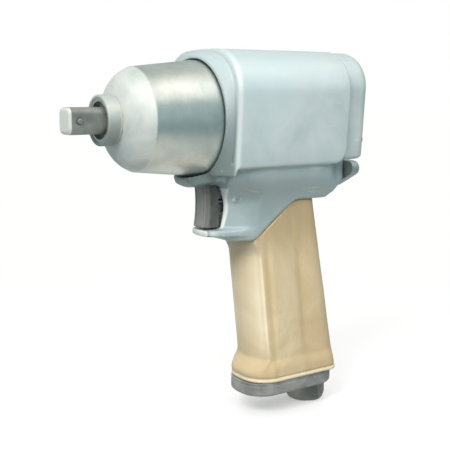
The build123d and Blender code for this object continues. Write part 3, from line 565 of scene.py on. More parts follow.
knob = soft_finish("trigger_plastic", (98, 100, 97), (74, 76, 74), 120, 0.34, 0.00003)
# painted light: the trigger's forward-facing faces are lighter
painted_front_light = knob.remap(knob.facing(1), -0.95, -0.6, 0.7, 0, smooth=True)
knob.set(Base_Color=knob.mix(painted_front_light, knob.current("Base Color"), colour(160, 160, 156)))
trigger_finish = knob.material


def grip_finish():
    """Tan rubberised leather: pores, fine creases and a pale hem, with painted light on the front strap
    and painted shade under the casting, in the palm hollow, behind and on the foot.
    """
    f = Finish("grip_tan")
    wash = f.noise(26, 4, 0.6, warp=0.8)
    streak = f.noise(120, 3, 0.6, f.stretch(1, 1, 0.18))
    tone = f.mix(f.remap(wash, 0.35, 0.68, 0, 1), colour(226, 208, 172), colour(204, 183, 142))
    tone = f.mix(f.remap(streak, 0.5, 0.75, 0, 0.2), tone, colour(190, 166, 122))
    # painted light: the front strap is lighter where it faces forward, in patches; painted shade under the
    # casting, in the palm hollow and behind follows
    lit_strap = f.remap(f.facing(1), -1.0, -0.80, 0.3, 0.85, smooth=True)
    lit_strap = f.math("MINIMUM", lit_strap, f.remap(f.facing(1), -0.62, -0.40, 1, 0, smooth=True))
    lit_strap = f.product(lit_strap, f.remap(f.noise(34, 2, 0.5, f.stretch(1, 1, 0.5)), 0.3, 0.62, 0.45, 1))
    lit_strap = f.product(lit_strap, f.remap(f.part(2), -137 * MM, -112 * MM, 0, 1, smooth=True))
    tone = f.mix(lit_strap, tone, colour(253, 241, 214))
    # painted shade: the front of the foot is darker and browner
    foot = f.remap(f.part(2), -135 * MM, -122 * MM, 0.45, 0, smooth=True)
    foot = f.product(foot, f.remap(f.facing(1), -0.5, -0.2, 1, 0, smooth=True))
    tone = f.mix(foot, tone, colour(186, 166, 130))
    # painted shade: a dark line in the palm hollow and another behind the front ridge
    along = f.math("ADD", f.part(1), f.product(f.part(2), FRONT_RAKE))
    for place, width, depth in ((101.8, 5.0, 0.28), (80.2, 2.6, 0.35)):
        off = f.distance_to(along, place * MM)
        tone = f.mix(f.remap(off, 0, width * MM, depth, 0, smooth=True), tone, colour(176, 152, 108))
    # painted shade under the casting, and towards the rear of the grip
    high = f.remap(f.part(2), -84 * MM, -56 * MM, 0, 0.6, smooth=True)
    tone = f.mix(high, tone, colour(172, 150, 112))
    behind = f.remap(f.part(1), 108 * MM, 134 * MM, 0, 0.55, smooth=True)
    tone = f.mix(behind, tone, colour(196, 170, 126))
    fleck = f.cells(420)
    tone = f.mix(f.remap(fleck, 0.02, 0.12, 0.25, 0), tone, colour(150, 124, 86))
    hem = f.remap(f.part(2), -140.9 * MM, -140.2 * MM, 0.75, 0)
    tone = f.mix(hem, tone, colour(236, 226, 200))
    pores = f.cells(1100)
    creases = f.noise(520, 4, 0.65, f.stretch(1, 1, 0.5), warp=1.2)
    normal = f.bump(creases, 0.00022, 0.55)
    normal = f.bump(pores, 0.0001, 0.5, normal)
    f.set(Base_Color=tone, Roughness=f.remap(wash, 0.3, 0.7, 0.58, 0.74), Normal=normal)
    f.set(Sheen_Weight=0.15, Sheen_Roughness=0.5, Specular_IOR_Level=0.35)
    return f.material


grip_tan = grip_finish()

# ---- Shared sections -------------------------------------------------------------------
_, case_high = span("hammer_case")
_, house_high = span("motor_housing")
_, cover_high = span("rear_cover")
sleeve_low, _ = span("grip_sleeve")
plate_low, plate_high = span("end_plate")
inlet_low, inlet_high = span("inlet_bushing")
trigger_low, trigger_high = span("trigger")
lever_low, lever_high = span("reverse_lever")

HALF = house_high[0]
TOP = house_high[2]
FRONT = 58.0
REAR = 129.0
FLOOR = -24.0
SHOULDER = 12.5
FLOOR_HALF = 31.2
FLAT = 14.5
COLLAR = 31.4
COLLAR_FRONT = 52.4
GRIP_BOTTOM = sleeve_low[2]
GRIP_TOP = -43.5
CHIN_BACK = 81.0
SLOPE_BACK = 106.0
CHIN_BOTTOM = -63.2
JOINT_GAP = 0.15
THROTTLE_Z = -43.5
REVERSE_Z = -31.5
BUSHING_PIN = (71.0, -40.4)
PLATE_SCREWS = (7.0, -7.0)
PLATE_SCREW_Y = 90.2
INLET_Y = (inlet_low[1] + inlet_high[1]) / 2
SCREWS = ((20.0, 21.5), (-20.0, 21.5), (24.0, -12.0), (-24.0, -12.0))
MOTOR_BORE = 21.0
TRIGGER_HALF = 7.0
TRIGGER_GAP = 0.35
WEB_TOP = -22.9


def arch_outline():
    """Half of the housing's cross section, open below, as |x|, z points."""
    tangent = np.array((HALF - FLOOR_HALF, SHOULDER - FLOOR))
    tangent /= np.linalg.norm(tangent)
    normal = np.array((-tangent[1], tangent[0]))
    start = np.array((HALF, SHOULDER))
    end = np.array((FLAT, TOP - 0.4))
    chord = end - start
    radius = chord @ chord / (2 * chord @ normal)
    centre = start + radius * normal
    a0 = math.atan2(*(start - centre)[::-1])
    a1 = math.atan2(*(end - centre)[::-1])
    arc = [tuple(centre + radius * np.array((math.cos(a), math.sin(a)))) for a in np.linspace(a0, a1, 24)]
    crown = [(FLAT * t, TOP - 0.4 * t * t) for t in np.linspace(1, 0, 10)[1:]]
    low = start + tangent * ((-60 - SHOULDER) / tangent[1])
    return [tuple(low)] + arc + crown + [(-60, TOP), (-60, -60)]


ARCH = arch_outline()


def rounded_section(g, front, rear, half, r):
    return box2(g.x, g.y - (front + rear) / 2, half, (rear - front) / 2, r)


def handle_front(g):
    return HANDLE_FRONT + FRONT_RAKE * (RAKE_Z - g.z)


def handle_rear(g):
    return HANDLE_REAR + REAR_RAKE * (RAKE_Z - g.z)


def handle_core(g, inset):
    """Raked handle body that the sleeve fits over."""
    flare = 4.0 * step_up(-g.z, 127.0, 140.0)
    front = handle_front(g) - 1.0 * flare + inset
    rear = handle_rear(g) + 0.1 * flare - inset
    half = 16.0 + 0.1 * flare - inset
    body = rounded_section(g, front, rear, half, 12.0 - inset)
    return meet(body, between(g.z, GRIP_BOTTOM, -36.0))


def snout(g, front, rear, low, high, r):
    """Boat-shaped block that widens rearwards."""
    half = 15.5
    nose = [(half * 0.45 * t, front + 1.2 * t * t) for t in np.linspace(0, 1, 6)]
    flank = spline([nose[-1], (0.8 * half, front + 8.0), (half, front + 18.0)])
    plan = polygon(g.ax, g.y, nose + flank[1:] + [(half, rear), (-half, rear), (-half, front)])
    return meet(plan, between(g.z, low, high), r)


# ---- Motor housing ---------------------------------------------------------------------
def housing_field(g):
    arch = polygon(g.ax, g.z, ARCH)
    # the front swells from the outline to a round collar at the hammer case
    around = np.sqrt(g.x**2 + g.z**2) - COLLAR
    swell = np.clip(-arch / np.maximum(-arch + np.maximum(around, 0), 0.05), 0, 1)
    ahead = FRONT - (FRONT - COLLAR_FRONT) * swell - g.y
    block = meet(arch, 0.75 * ahead, 1.4)
    # thin groove round the flange, just ahead of the panel
    block = block + 0.75 * np.exp(-(((g.y - 57.0) / 0.5) ** 2)) * step_up(g.z, -22.5, -20.0)
    # the flange runs on down into the chin ahead of the panel
    under = FLOOR - 4.0 * step_up(-g.y, -59.6, -58.0)
    block = meet(block, meet(g.y - REAR, under - g.z, 7.5), 1.5)

    side = polygon(
        g.y,
        g.z,
        [(60.0, -20.0), (62.0, -31.0)]
        + spline([(62.0, -31.0), (65.8, -44.0), (63.6, -57.0)])[1:]
        + rounded(
            [
                (63.6, -60.4, 1.5),
                (68.0, CHIN_BOTTOM, 4.0),
                (CHIN_BACK, CHIN_BOTTOM, 5.0),
                (SLOPE_BACK, GRIP_TOP, 5.0),
                (126.5, GRIP_TOP, 2.0),
                (129.5, -41.2, 2.0),
                (138.3, -41.2, 4.5),
                (144.3, -34.8, 3.0),
                (144.3, WEB_TOP, 1.0),
                (REAR, WEB_TOP, 0),
                (REAR, -20.0, 0),
            ]
        ),
    )
    flank = spline([(28.0, -20.0), (27.0, -30.0), (19.6, -41.0), (16.6, -51.0), (16.6, -68.0)])
    front = polygon(g.ax, g.z, flank + [(-40.0, -68.0), (-40.0, -20.0)])
    waist = spline([(33.0, 100.0), (26.0, 122.0), (12.5, 138.0)])
    waist = [(33.0, 40.0)] + waist + [(12.5, 152.0), (-40.0, 152.0), (-40.0, 40.0)]
    plan = polygon(g.ax, g.y, waist)
    casting = meet(meet(side, front, 2.4), plan, 2.6)
    # cheeks: the casting narrows towards the trigger
    swing = 14.0 * step_up(g.z, -44.0, -27.0)
    stations = (50.0, 63.0, 70.0, 81.0, 90.0)
    cheek = np.interp(g.y, stations, (8.6, 8.6, 12.4, 17.6, 30.0)).astype(np.float32)
    casting = meet(casting, 0.87 * (g.ax - swing - cheek), 1.7)

    keel = [(43.4, -28.8), (48.4, -35.2), (74.0, -35.2), (74.0, -19.0), (43.4, -19.0)]
    chin_side = polygon(g.y, g.z, keel)
    chin = meet(snout(g, 44.0, 74.0, -60.0, 0.0, 0.0), chin_side, 1.3)
    chin = meet(chin, 0.9 * (-34.9 + 0.0207 * g.x**2 - g.z), 1.2)
    lip = snout(g, 55.2, 80.0, -60.4, -56.8, 1.2)

    body = join(block, casting, 1.6)
    body = join(body, chin, 2.0)
    body = join(body, lip, 2.2)
    body = join(body, handle_core(g, 2.2), 0.4)
    pin_y, pin_z = BUSHING_PIN
    boss = np.sqrt((g.ax - 12.0) ** 2 + (g.y - pin_y) ** 2 + (g.z - pin_z) ** 2) - 2.6
    body = join(body, boss, 0.9)

    # case seat, motor bore
    bores = meet(bar(g, 29.72), g.y - FRONT)
    bores = join(bores, meet(bar(g, 26.42), g.y - 64.2))
    bores = join(bores, meet(bar(g, 12.0), g.y - 70.0))
    bores = join(bores, meet(bar(g, MOTOR_BORE), 67.0 - g.y))
    body = cut(body, np.maximum(bores, -33.0 - g.z), 0.3)
    # trigger pocket
    half = (trigger_high[2] - trigger_low[2]) / 2
    pocket_z = (trigger_low[2] + trigger_high[2]) / 2
    pocket = box2(g.x, g.z - pocket_z, TRIGGER_HALF + TRIGGER_GAP, half + TRIGGER_GAP, 1.2)
    body = cut(body, meet(pocket, between(g.y, 54.5, 68.4), 1.0), 1.0)
    # throttle, reverse valve and detent bores
    body = cut(body, meet(bar(g, 5.5, z=THROTTLE_Z), between(g.y, 60.0, 100.5)), 0.9)
    ways = meet(bar(g, 5.0, z=REVERSE_Z), 74.0 - g.y)
    ways = join(ways, meet(bar(g, 1.3, x=-6.3, z=REVERSE_Z), 137.0 - g.y))
    # exhaust room, inlet, screw holes
    lean = FRONT_RAKE * (g.z - GRIP_BOTTOM)
    room = meet(between(g.y + lean, 95.0, 110.0), g.ax - 9.4)
    ways = join(ways, meet(room, g.z + 76.0))
    ways = join(ways, meet(post(g, 8.5, y=INLET_Y), g.z - (GRIP_BOTTOM + 17.0)))
    for x in PLATE_SCREWS:
        ways = join(ways, meet(post(g, 1.6, x=x, y=PLATE_SCREW_Y), g.z - (GRIP_BOTTOM + 9.0)))
    ways = join(ways, np.sqrt((g.y - pin_y) ** 2 + (g.z - pin_z) ** 2) - 1.05)
    for x, z in SCREWS:
        ways = join(ways, meet(bar(g, 2.05, x=x, z=z), 115.0 - g.y))
    return cut(body, ways, 0.3)


g = Grid((-35.6, 42.5, -144.4), (35.6, 146.4, 36.2), 0.5)
shell = skin(g, housing_field(g), 190000)
skinned("housing_shell", [shell], "housing", cast_paint, ["motor_housing"])


# ---- Rear cover ------------------------------------------------------------------------
def cover_field(g):
    arch = polygon(g.ax, g.z - 1.7, ARCH)
    body = meet(arch + 2.2, WEB_TOP + 0.5 - g.z, 2.0)
    body = meet(body, g.y - cover_high[1], 6.5)
    body = meet(body, 129.6 - g.y, 0.4)
    body = join(body, meet(bar(g, MOTOR_BORE - 0.05), between(g.y, 119.0, 131.0)))
    body = cut(body, meet(bar(g, 17.0), g.y - 138.5))
    for x, z in SCREWS:
        body = cut(body, bar(g, 2.2, x=x, z=z))
        body = cut(body, meet(bar(g, 3.8, x=x, z=z), 139.5 - g.y), 0.7)
    return body


g = Grid((-32.6, 118.0, -25.6), (32.6, 145.6, 35.2), 0.5)
shell = skin(g, cover_field(g), 60000)
skinned("rear_cover_shell", [shell], "housing", cover_paint, ["rear_cover"])


# ---- Grip ------------------------------------------------------------------------------
def grip_field(g):
    foot = step_up(-g.z, 129.0, 138.5)
    head = step_up(g.z, -73.0, -62.5)
    front = handle_front(g) - 5.6 * foot - 3.4 * head
    rear = handle_rear(g) + 1.0 * foot
    ax = g.ax - 1.0 * foot
    u = g.y - front
    nose = np.sqrt(ax**2 + np.minimum(u - 24.0, 0) ** 2) - 24.0
    slant = 0.985 * (ax - 15.0) - 0.174 * (u - 5.3)
    flat = np.maximum(slant, ax - 16.1)
    body = meet(nose, flat, 0.3)
    body = body - 0.35 * np.exp(-(((u - 5.0) / 1.1) ** 2)) * step_up(g.ax, 12.0, 14.0)
    # the ridge runs out into a rounded foot
    toe = step_up(-g.z, 129.5, 138.0)
    body = body * (1 - toe) + toe * rounded_section(g, front, rear + 6.0, 17.0, 14.0)
    body = meet(body, g.y - rear, 11.0)
    # palm hollow along each side, and the slack of a wrapped cover
    hollow = np.exp(-(((u - 29.5) / 2.4) ** 2)) + 0.5 * np.exp(-(((u - 9.0) / 2.0) ** 2))
    body = body + 0.55 * hollow * step_up(g.ax, 8.0, 14.0) * step_up(g.z, -134.0, -118.0)
    body = body + 0.07 * np.sin(g.z * 0.19 + 0.13 * g.y) * np.sin(g.y * 0.23 + 0.15 * g.x + 1.0)
    # hem above the end plate
    body = body + 0.4 * np.exp(-(((g.z + 140.1) / 0.5) ** 2)) - 0.2 * step_up(-g.z, 140.0, 141.2)
    over = polygon(
        g.y,
        g.z,
        rounded(
            [
                (40.0, -170.0, 0),
                (40.0, CHIN_BOTTOM - JOINT_GAP, 0),
                (CHIN_BACK, CHIN_BOTTOM - JOINT_GAP, 5.0),
                (SLOPE_BACK, GRIP_TOP - JOINT_GAP, 5.0),
                (160.0, GRIP_TOP - JOINT_GAP, 0),
                (160.0, -170.0, 0),
            ]
        ),
    )
    body = meet(body, over, 0.7)
    body = meet(body, GRIP_BOTTOM - g.z, 1.0)
    return cut(body, handle_core(g, 2.15))


g = Grid((-18.6, 70.0, -143.6), (18.6, 144.4, -42.4), 0.45)
shell = skin(g, grip_field(g), 120000)
skinned("grip_cover", [shell], "housing", grip_tan, ["grip_sleeve"])


# ---- End plate and air inlet -----------------------------------------------------------
def end_plate_field(g):
    half = plate_high[0]
    outline = rounded_section(g, plate_low[1], plate_high[1], half, 14.0)
    body = meet(outline, plate_low[2] - g.z, 1.8)
    body = meet(body, g.z - plate_high[2], 0.5)
    # parting groove under the grip's hem
    body = body + 0.35 * np.exp(-(((g.z - plate_high[2] + 1.5) / 0.35) ** 2))
    body = cut(body, post(g, 8.6, y=INLET_Y), 0.4)
    for k in range(4):
        slot = box2(g.x, g.y - (102.0 + 3.6 * (k - 1.5)), 8.0, 0.95, 0.9)
        body = cut(body, slot, 0.4)
    for x in PLATE_SCREWS:
        body = cut(body, post(g, 1.7, x=x, y=PLATE_SCREW_Y))
        body = cut(body, meet(post(g, 3.1, x=x, y=PLATE_SCREW_Y), g.z - (plate_low[2] + 2.5)), 0.3)
    return body


g = Grid(
    (-17.6, plate_low[1] - 1.2, plate_low[2] - 1.2), (17.6, plate_high[1] + 1.2, plate_high[2] + 1.2), 0.4
)
shell = skin(g, end_plate_field(g), 40000)
skinned("end_plate_body", [shell], "housing", end_plate_finish, ["end_plate"])


def inlet_field(g):
    """Hexagon bushing with a chamfered nose and a pipe thread in its port."""
    low, high = inlet_low[2], inlet_high[2]
    x, y = g.x, g.y - INLET_Y
    r = np.sqrt(x**2 + y**2)
    flats = 11.2 * math.cos(math.pi / 6)
    hexagon = -1e3
    for k in range(3):
        a = math.radians(60 * k + 30)
        hexagon = np.maximum(hexagon, np.abs(x * math.cos(a) + y * math.sin(a)) - flats)
    head_top = plate_low[2] - 0.1
    cone = (r - 10.5) * 0.87 + (low + 1.1 - g.z) * 0.5
    head = meet(meet(hexagon, cone, 0.3), between(g.z, low, head_top), 0.4)
    body = join(head, meet(r - 8.4, between(g.z, low + 2.0, high)))
    pitch = 1.41
    turn = np.arctan2(y, x) / (2 * math.pi)
    wave = np.abs(((g.z / pitch - turn) % 1.0) - 0.5) * 2
    port = r - (5.25 + 0.55 * wave)
    body = cut(body, meet(port, g.z - (low + 12.0)))
    body = cut(body, (r - 6.6) * 0.7 + (g.z - low) * 0.7)
    return cut(body, r - 4.7)


g = Grid(
    (-12.0, INLET_Y - 12.0, inlet_low[2] - 1.0), (12.0, INLET_Y + 12.0, inlet_high[2] + 1.0), 0.32
)
shell = skin(g, inlet_field(g), 60000)
skinned("inlet_hex", [shell], "housing", dark_steel, ["inlet_bushing"])


# ---- Trigger ---------------------------------------------------------------------------
def trigger_field(g):
    middle = (trigger_low[2] + trigger_high[2]) / 2
    half = (trigger_high[2] - trigger_low[2]) / 2
    t = (g.z - middle) / half
    y = g.y - (1.2 - 0.9 * t**2 + 0.3 * t)
    front = trigger_low[1] - 0.9
    plan = polygon(
        g.ax,
        y,
        rounded(
            [
                (-9.0, front, 0),
                (4.8, front + 0.2, 0.4),
                (TRIGGER_HALF, front + 2.2, 0.6),
                (TRIGGER_HALF, 80.0, 0),
                (-9.0, 80.0, 0),
            ]
        ),
    )
    body = meet(plan, np.abs(g.z - middle) - half, 1.0)
    groove = np.exp(-(((g.ax - 3.6) / 0.35) ** 2)) * step_up(-g.y, -(front + 3.0), -(front + 2.4))
    body = body + 0.5 * groove * step_up(-np.abs(g.z - middle), -half, -half + 2.0)
    return meet(body, g.y - trigger_high[1], 0.5)


g = Grid(
    (-8.0, trigger_low[1] - 2.2, trigger_low[2] - 1.0),
    (8.0, trigger_high[1] + 1.0, trigger_high[2] + 1.0),
    0.3,
)
shell = skin(g, trigger_field(g), 24000)
skinned("trigger_pad", [shell], "trigger", trigger_finish, ["trigger"])


# ---- Reverse lever and screws ----------------------------------------------------------
def lever_field(g):
    lift = math.radians(11.0)
    along = g.x * math.cos(lift) + (g.z - REVERSE_Z) * math.sin(lift)
    beside = np.abs((g.z - REVERSE_Z) * math.cos(lift) - g.x * math.sin(lift))
    hub, tip, reach = 8.2, 4.2, 14.4
    b = (hub - tip) / reach
    a = math.sqrt(1 - b * b)
    k = -b * beside + a * along
    flank = a * beside + b * along - hub
    outline = np.where(
        k < 0,
        np.sqrt(along**2 + beside**2) - hub,
        np.where(k > a * reach, np.sqrt((along - reach) ** 2 + beside**2) - tip, flank),
    )
    body = meet(outline, g.y - lever_high[1], 1.5)
    body = meet(body, lever_low[1] - g.y, 0.4)
    for k in range(3):
        rib = np.abs(along - (reach - 3.0 + 2.2 * k))
        body = body + 0.3 * np.exp(-((rib / 0.5) ** 2)) * step_up(g.y, 149.0, 150.2)
    body = cut(body, meet(bar(g, 3.52, z=REVERSE_Z), g.y - (lever_low[1] + 2.5)))
    body = cut(body, bar(g, 1.6, z=REVERSE_Z))
    body = cut(body, meet(bar(g, 2.95, z=REVERSE_Z), (lever_high[1] - 1.9) - g.y), 0.25)
    for x, z in ((0.0, -6.3), (-6.3, 0.0)):
        body = cut(body, meet(bar(g, 1.3, x=x, z=REVERSE_Z + z), g.y - (lever_low[1] + 0.9)))
    return body


g = Grid(
    (-9.4, lever_low[1] - 0.9, lever_low[2] - 0.9),
    (lever_high[0] + 0.9, lever_high[1] + 0.9, lever_high[2] + 0.9),
    0.3,
)
shell = skin(g, lever_field(g), 24000)
skinned("reverse_tab", [shell], "reverse_lever", lever_steel, ["reverse_lever"])


def cap_screw_field(g, radius, height, shank, length, across, depth):
    """Socket head screw along +Y: the head's top is at y = 0, the shank runs forward."""
    r = np.sqrt(g.x**2 + g.z**2)
    turn = np.arctan2(g.z, g.x)
    head = meet(r - radius + 0.07 * np.cos(36 * turn), between(g.y, -height, 0.0), 0.45)
    wave = np.abs(((g.y / 0.7 - turn / (2 * math.pi)) % 1.0) - 0.5)
    core = r - (shank - 0.35 * wave * step_up(-g.y, height + 2.0, height + 3.0))
    body = join(head, meet(core, between(g.y, -length, -height + 1.0), 0.3), 0.2)
    socket = -1e3
    for k in range(3):
        a = math.radians(60 * k)
        socket = np.maximum(socket, np.abs(g.x * math.cos(a) + g.z * math.sin(a)) - across)
    return cut(body, meet(socket, -depth - g.y), 0.12)


screw_low, screw_high = span("rear_cover_screws")
length = screw_high[1] - screw_low[1]
g = Grid((-4.0, -24.5, -4.0), (4.0, 0.6, 4.0), 0.22)
one = skin(g, cap_screw_field(g, 3.5, 4.0, 1.95, length, 1.5, 2.4), 9000)
four = [(one[0] + np.array((x, screw_high[1], z)), one[1], one[2]) for x, z in SCREWS]
skinned("cover_cap_screws", four, "housing", dark_steel, ["rear_cover_screws"])


def slotted_field(g, radius, height, shank, length, slot):
    """Cheese head screw along +Z with its head's top at z = 0 and a driver slot."""
    r = np.sqrt(g.x**2 + g.y**2)
    head = meet(r - radius, between(g.z, -height, 0.0), 0.35)
    body = join(head, meet(r - shank, between(g.z, -length, -height + 0.5), 0.2), 0.1)
    return cut(body, meet(np.abs(g.y) - slot / 2, -0.55 * height - g.z), 0.08)


screw_low, screw_high = span("end_plate_screws")
length = screw_high[2] - screw_low[2]
g = Grid((-3.4, -3.4, -length - 0.6), (3.4, 3.4, 0.6), 0.22)
one = skin(g, slotted_field(g, 2.9, 2.3, 1.5, length, 0.8), 7000)
turned_down = np.array((1, -1, -1))
pair = [
    (one[0] * turned_down + np.array((x, PLATE_SCREW_Y, screw_low[2])), one[1], one[2] * turned_down)
    for x in PLATE_SCREWS
]
skinned("plate_screws", pair, "housing", dark_steel, ["end_plate_screws"])

screw_low, screw_high = span("lever_screw")
length = screw_high[1] - screw_low[1]
g = Grid((-3.2, -3.2, -length - 0.6), (3.2, 3.2, 0.6), 0.2)
one = skin(g, slotted_field(g, 2.7, 1.58, 1.2, length, 0.7), 7000)
swing = np.array(((1, 0, 0), (0, 0, 1), (0, -1, 0)), float)
at = np.array((0, screw_high[1], REVERSE_Z))
one = (one[0] @ swing.T + at, one[1], one[2] @ swing.T)
skinned("lever_pivot_screw", [one], "reverse_lever", machined_steel, ["lever_screw"])


# ---- Hammer case -----------------------------------------------------------------------
def arc_through(a, b, c, steps):
    """Points on the circle through three points, from a to c."""
    (ax, ay), (bx, by), (cx, cy) = a, b, c
    d = 2 * (ax * (by - cy) + bx * (cy - ay) + cx * (ay - by))
    aa, bb, cc = ax**2 + ay**2, bx**2 + by**2, cx**2 + cy**2
    ux = (aa * (by - cy) + bb * (cy - ay) + cc * (ay - by)) / d
    uy = (aa * (cx - bx) + bb * (ax - cx) + cc * (bx - ax)) / d
    r = math.hypot(ax - ux, ay - uy)
    a0 = math.atan2(ay - uy, ax - ux)
    a1 = math.atan2(cy - uy, cx - ux)
    return [(ux + r * math.cos(t), uy + r * math.sin(t)) for t in np.linspace(a0, a1, steps)]


NOSE_RADIUS = 12.2
CASE_BACK = 57.0
THREAD_RADIUS = 26.4
rear_radius = case_high[0] + 0.4
dome = arc_through((7.5, 11.75), (11.1, 20.4), (18.0, 25.25), 30)
case_outline = rounded(
    [
        (0.0, 10.7, 0.25),
        (0.0, NOSE_RADIUS, 0.8),
        (6.9, NOSE_RADIUS, 0.6),
        (7.1, 11.5, 0.15),
    ],
    5,
)
case_outline += [(7.35, 11.5)] + dome[1:-1]
case_outline += rounded(
    [
        dome[-1] + (0,),
        (18.25, 25.45, 0.15),
        (CASE_BACK, rear_radius, 0.9),
        (CASE_BACK, THREAD_RADIUS, 0),
    ],
    6,
)
# spigot, hammer room and nose bore, back round to the face
case_outline += [(64.0, THREAD_RADIUS), (64.0, 23.1), (21.6, 23.1), (18.2, 19.5)]
case_outline += [(18.2, 10.3), (0.4, 10.3), (0.4, 10.7)]
lathe("hammer_case_shell", case_outline, 192, "housing", case_steel, ["hammer_case"])


# ---- Anvil -----------------------------------------------------------------------------
def anvil_field(g):
    """Drive square with well rounded corners, its shank, and the two jaws behind."""
    tip = anvil_low[1]
    square = box2(g.x, g.z, 6.35, 6.35, 3.2)
    body = meet(square, between(g.y, tip, 4.2), 1.7)
    # a soft hollow ground along each face of the square
    along = step_up(-g.y, -2.0, 0.0) * step_up(g.y, tip + 2.0, tip + 4.0)
    for across in (g.x, g.z):
        body = body + 0.22 * np.exp(-((across / 2.2) ** 2)) * along
    r = np.sqrt(g.x**2 + g.z**2)
    steps = ((8.0, 3.6, 19.0), (11.0, 18.7, 21.8), (9.0, 21.0, 45.8), (5.0, 45.0, 50.0))
    for radius, start, end in steps:
        body = join(body, meet(r - radius, between(g.y, start, end), 0.4))
    for start, side in ((26.8, -1), (36.5, 1)):
        jaw = np.maximum(r - 11.0, np.maximum(g.ax - 3.0, -side * g.z))
        body = join(body, meet(jaw, between(g.y, start + 0.3, start + 8.7), 0.4))
    pin = np.sqrt((g.y - (tip + 5.2)) ** 2 + g.z**2) - 1.55
    return cut(body, np.maximum(pin, -2.6 - g.x), 0.15)


anvil_low, anvil_high = span("anvil")
g = Grid((-12.0, anvil_low[1] - 1.0, -12.0), (12.0, anvil_high[1] + 1.0, 12.0), 0.3)
shell = skin(g, anvil_field(g), 50000)
skinned("anvil_drive", [shell], "anvil", drive_steel, ["anvil"])

# ---- CAD nodes that stay ---------------------------------------------------------------
FALLBACK = {
    "socket_pin": drive_steel,
    "bushing_pin": case_steel,
    "reverse_bushing": bronze,
    "case_gasket": gasket_sheet,
    "rear_gasket": gasket_sheet,
    "exhaust_muffler": felt,
    "rotor_vanes": vane_stock,
}
for name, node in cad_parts.items():
    plain = bearing_steel if "bearing" in name or "ball" in name else machined_steel
    node.data.materials.clear()
    node.data.materials.append(FALLBACK.get(name, plain))

# ---- Stage, light and camera -----------------------------------------------------------
low, high = cad_box
centre = (low + high) / 2

mesh = bpy.data.meshes.new("floor")
size = 6.0
corners = ((-1, -1), (1, -1), (1, 1), (-1, 1))
mesh.from_pydata([(sx * size, sy * size, low.z - 0.4 * MM) for sx, sy in corners], [], [(0, 1, 2, 3)])
floor = bpy.data.objects.new("floor", mesh)
bpy.context.scene.collection.objects.link(floor)

# The floor looks white, but hands the object only a soft grey bounce and a muted mirror side.
f = Finish("floor_white")
tree = f.tree
f.set(Base_Color=[0.93, 0.93, 0.92, 1], Roughness=0.9)
plain = tree.nodes.new("ShaderNodeEmission")
plain.inputs["Color"].default_value = (1.0, 1.0, 0.995, 1)
mirror_side = tree.nodes.new("ShaderNodeEmission")
distance = f.add("ShaderNodeVectorMath", operation="DISTANCE")
f.put(distance.inputs[0], f.place)
distance.inputs[1].default_value = (centre.x, centre.y, low.z)
far = f.remap(distance.outputs["Value"], 0.10, 0.42, 0, 1, smooth=True)
f.put(mirror_side.inputs["Color"], f.mix(far, colour(212, 214, 208), colour(140, 162, 166)))
mixer = tree.nodes.new("ShaderNodeMixShader")
f.put(mixer.inputs[0], f.remap(far, 0, 1, 0.35, 1))
f.put(mixer.inputs[1], f.shader.outputs[0])
f.put(mixer.inputs[2], plain.outputs[0])
glossy_mixer = tree.nodes.new("ShaderNodeMixShader")
paths = tree.nodes.new("ShaderNodeLightPath")
f.put(glossy_mixer.inputs[0], paths.outputs["Is Glossy Ray"])
f.put(glossy_mixer.inputs[1], mixer.outputs[0])
f.put(glossy_mixer.inputs[2], mirror_side.outputs[0])
bounce = tree.nodes.new("ShaderNodeEmission")
bounce.inputs["Color"].default_value = (0.22, 0.26, 0.27, 1)
bounce_mixer = tree.nodes.new("ShaderNodeMixShader")
f.put(bounce_mixer.inputs[0], paths.outputs["Is Diffuse Ray"])
f.put(bounce_mixer.inputs[1], glossy_mixer.outputs[0])
f.put(bounce_mixer.inputs[2], bounce.outputs[0])
f.put(tree.nodes["Material Output"].inputs["Surface"], bounce_mixer.outputs[0])
floor.data.materials.append(f.material)

world = bpy.data.worlds.new("studio")
bpy.context.scene.world = world
world.use_nodes = True
tree = world.node_tree
backdrop = tree.nodes["Background"]


class Sky(Finish):
    """The same node helpers on the world's tree, placed by direction."""

    def __init__(self, tree):
        self.tree = tree
        self.place = self.add("ShaderNodeTexCoord").outputs["Generated"]


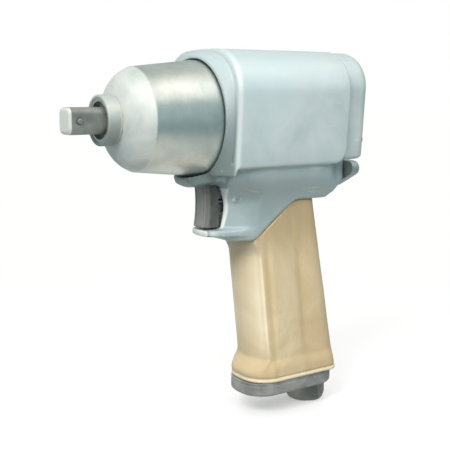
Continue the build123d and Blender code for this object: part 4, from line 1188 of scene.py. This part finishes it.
sky = Sky(tree)
up, across = sky.part(2), sky.part(0)
overhead = sky.remap(up, 0.50, 0.68, 0, 1, smooth=True)
right_half = sky.remap(across, -0.25, 0.15, 0, 1, smooth=True)
front_wall = sky.remap(sky.part(1), -0.75, -0.1, 1, 0, smooth=True)
band = sky.mix(overhead, colour(168, 190, 194), [1.18, 1.17, 1.10, 1])
left = sky.mix(sky.remap(up, 0.0, 0.9, 0, 1), colour(176, 186, 184), colour(206, 212, 208))
room = sky.mix(right_half, left, band)
room = sky.mix(front_wall, room, colour(238, 242, 240))
paths = tree.nodes.new("ShaderNodeLightPath")
soft = sky.mix(sky.remap(up, -0.1, 1.0, 0, 1), [0.43, 0.47, 0.485, 1], [0.78, 0.785, 0.775, 1])
seen = sky.mix(paths.outputs["Is Glossy Ray"], soft, room)
seen = sky.mix(paths.outputs["Is Camera Ray"], seen, [1, 1, 1, 1])
sky.put(backdrop.inputs["Color"], seen)


def softbox(name, place, target, size, power, tint=(1, 1, 1)):
    data = bpy.data.lights.new(name, "AREA")
    data.shape = "DISK"
    data.size = size
    data.energy = power
    data.color = tint
    lamp = bpy.data.objects.new(name, data)
    bpy.context.scene.collection.objects.link(lamp)
    lamp.location = place
    lamp.rotation_mode = "QUATERNION"
    lamp.rotation_quaternion = (Vector(target) - Vector(place)).to_track_quat("-Z", "Y")
    lamp.visible_glossy = False
    return lamp


softbox("key", centre + Vector((0.44, -0.80, 0.80)), centre, 0.5, 10.0, (1.0, 0.98, 0.95))
target = centre + Vector((0, 0, 0.03))
softbox("side", centre + Vector((0.60, -0.10, 0.42)), target, 0.35, 2.3, (1.0, 0.99, 0.97))
# a narrow strip that is seen only as a highlight
target = centre + Vector((0, 0, 0.08))
strip = softbox("strip", centre + Vector((0.44, 0.44, 0.54)), target, 0.05, 0.25)
strip.data.shape = "RECTANGLE"
strip.data.size_y = 0.9
strip.visible_glossy = True
strip.visible_diffuse = False
softbox("back", centre + Vector((-0.7, 0.6, 0.6)), centre, 0.6, 3.5)

view = bpy.data.cameras.new("view")
view.sensor_width = 36.0
view.lens = 68.0
view.clip_start = 0.01
camera = bpy.data.objects.new("view", view)
bpy.context.scene.collection.objects.link(camera)
azimuth, elevation = math.radians(56), math.radians(9)
level = math.cos(elevation)
back = Vector((math.sin(azimuth) * level, -math.cos(azimuth) * level, math.sin(elevation)))
camera.location = (0.3674, -0.1755, 0.0140)
camera.rotation_mode = "QUATERNION"
camera.rotation_quaternion = (-back).to_track_quat("-Z", "Y")
bpy.context.scene.camera = camera
bpy.context.scene.view_settings.view_transform = "Standard"
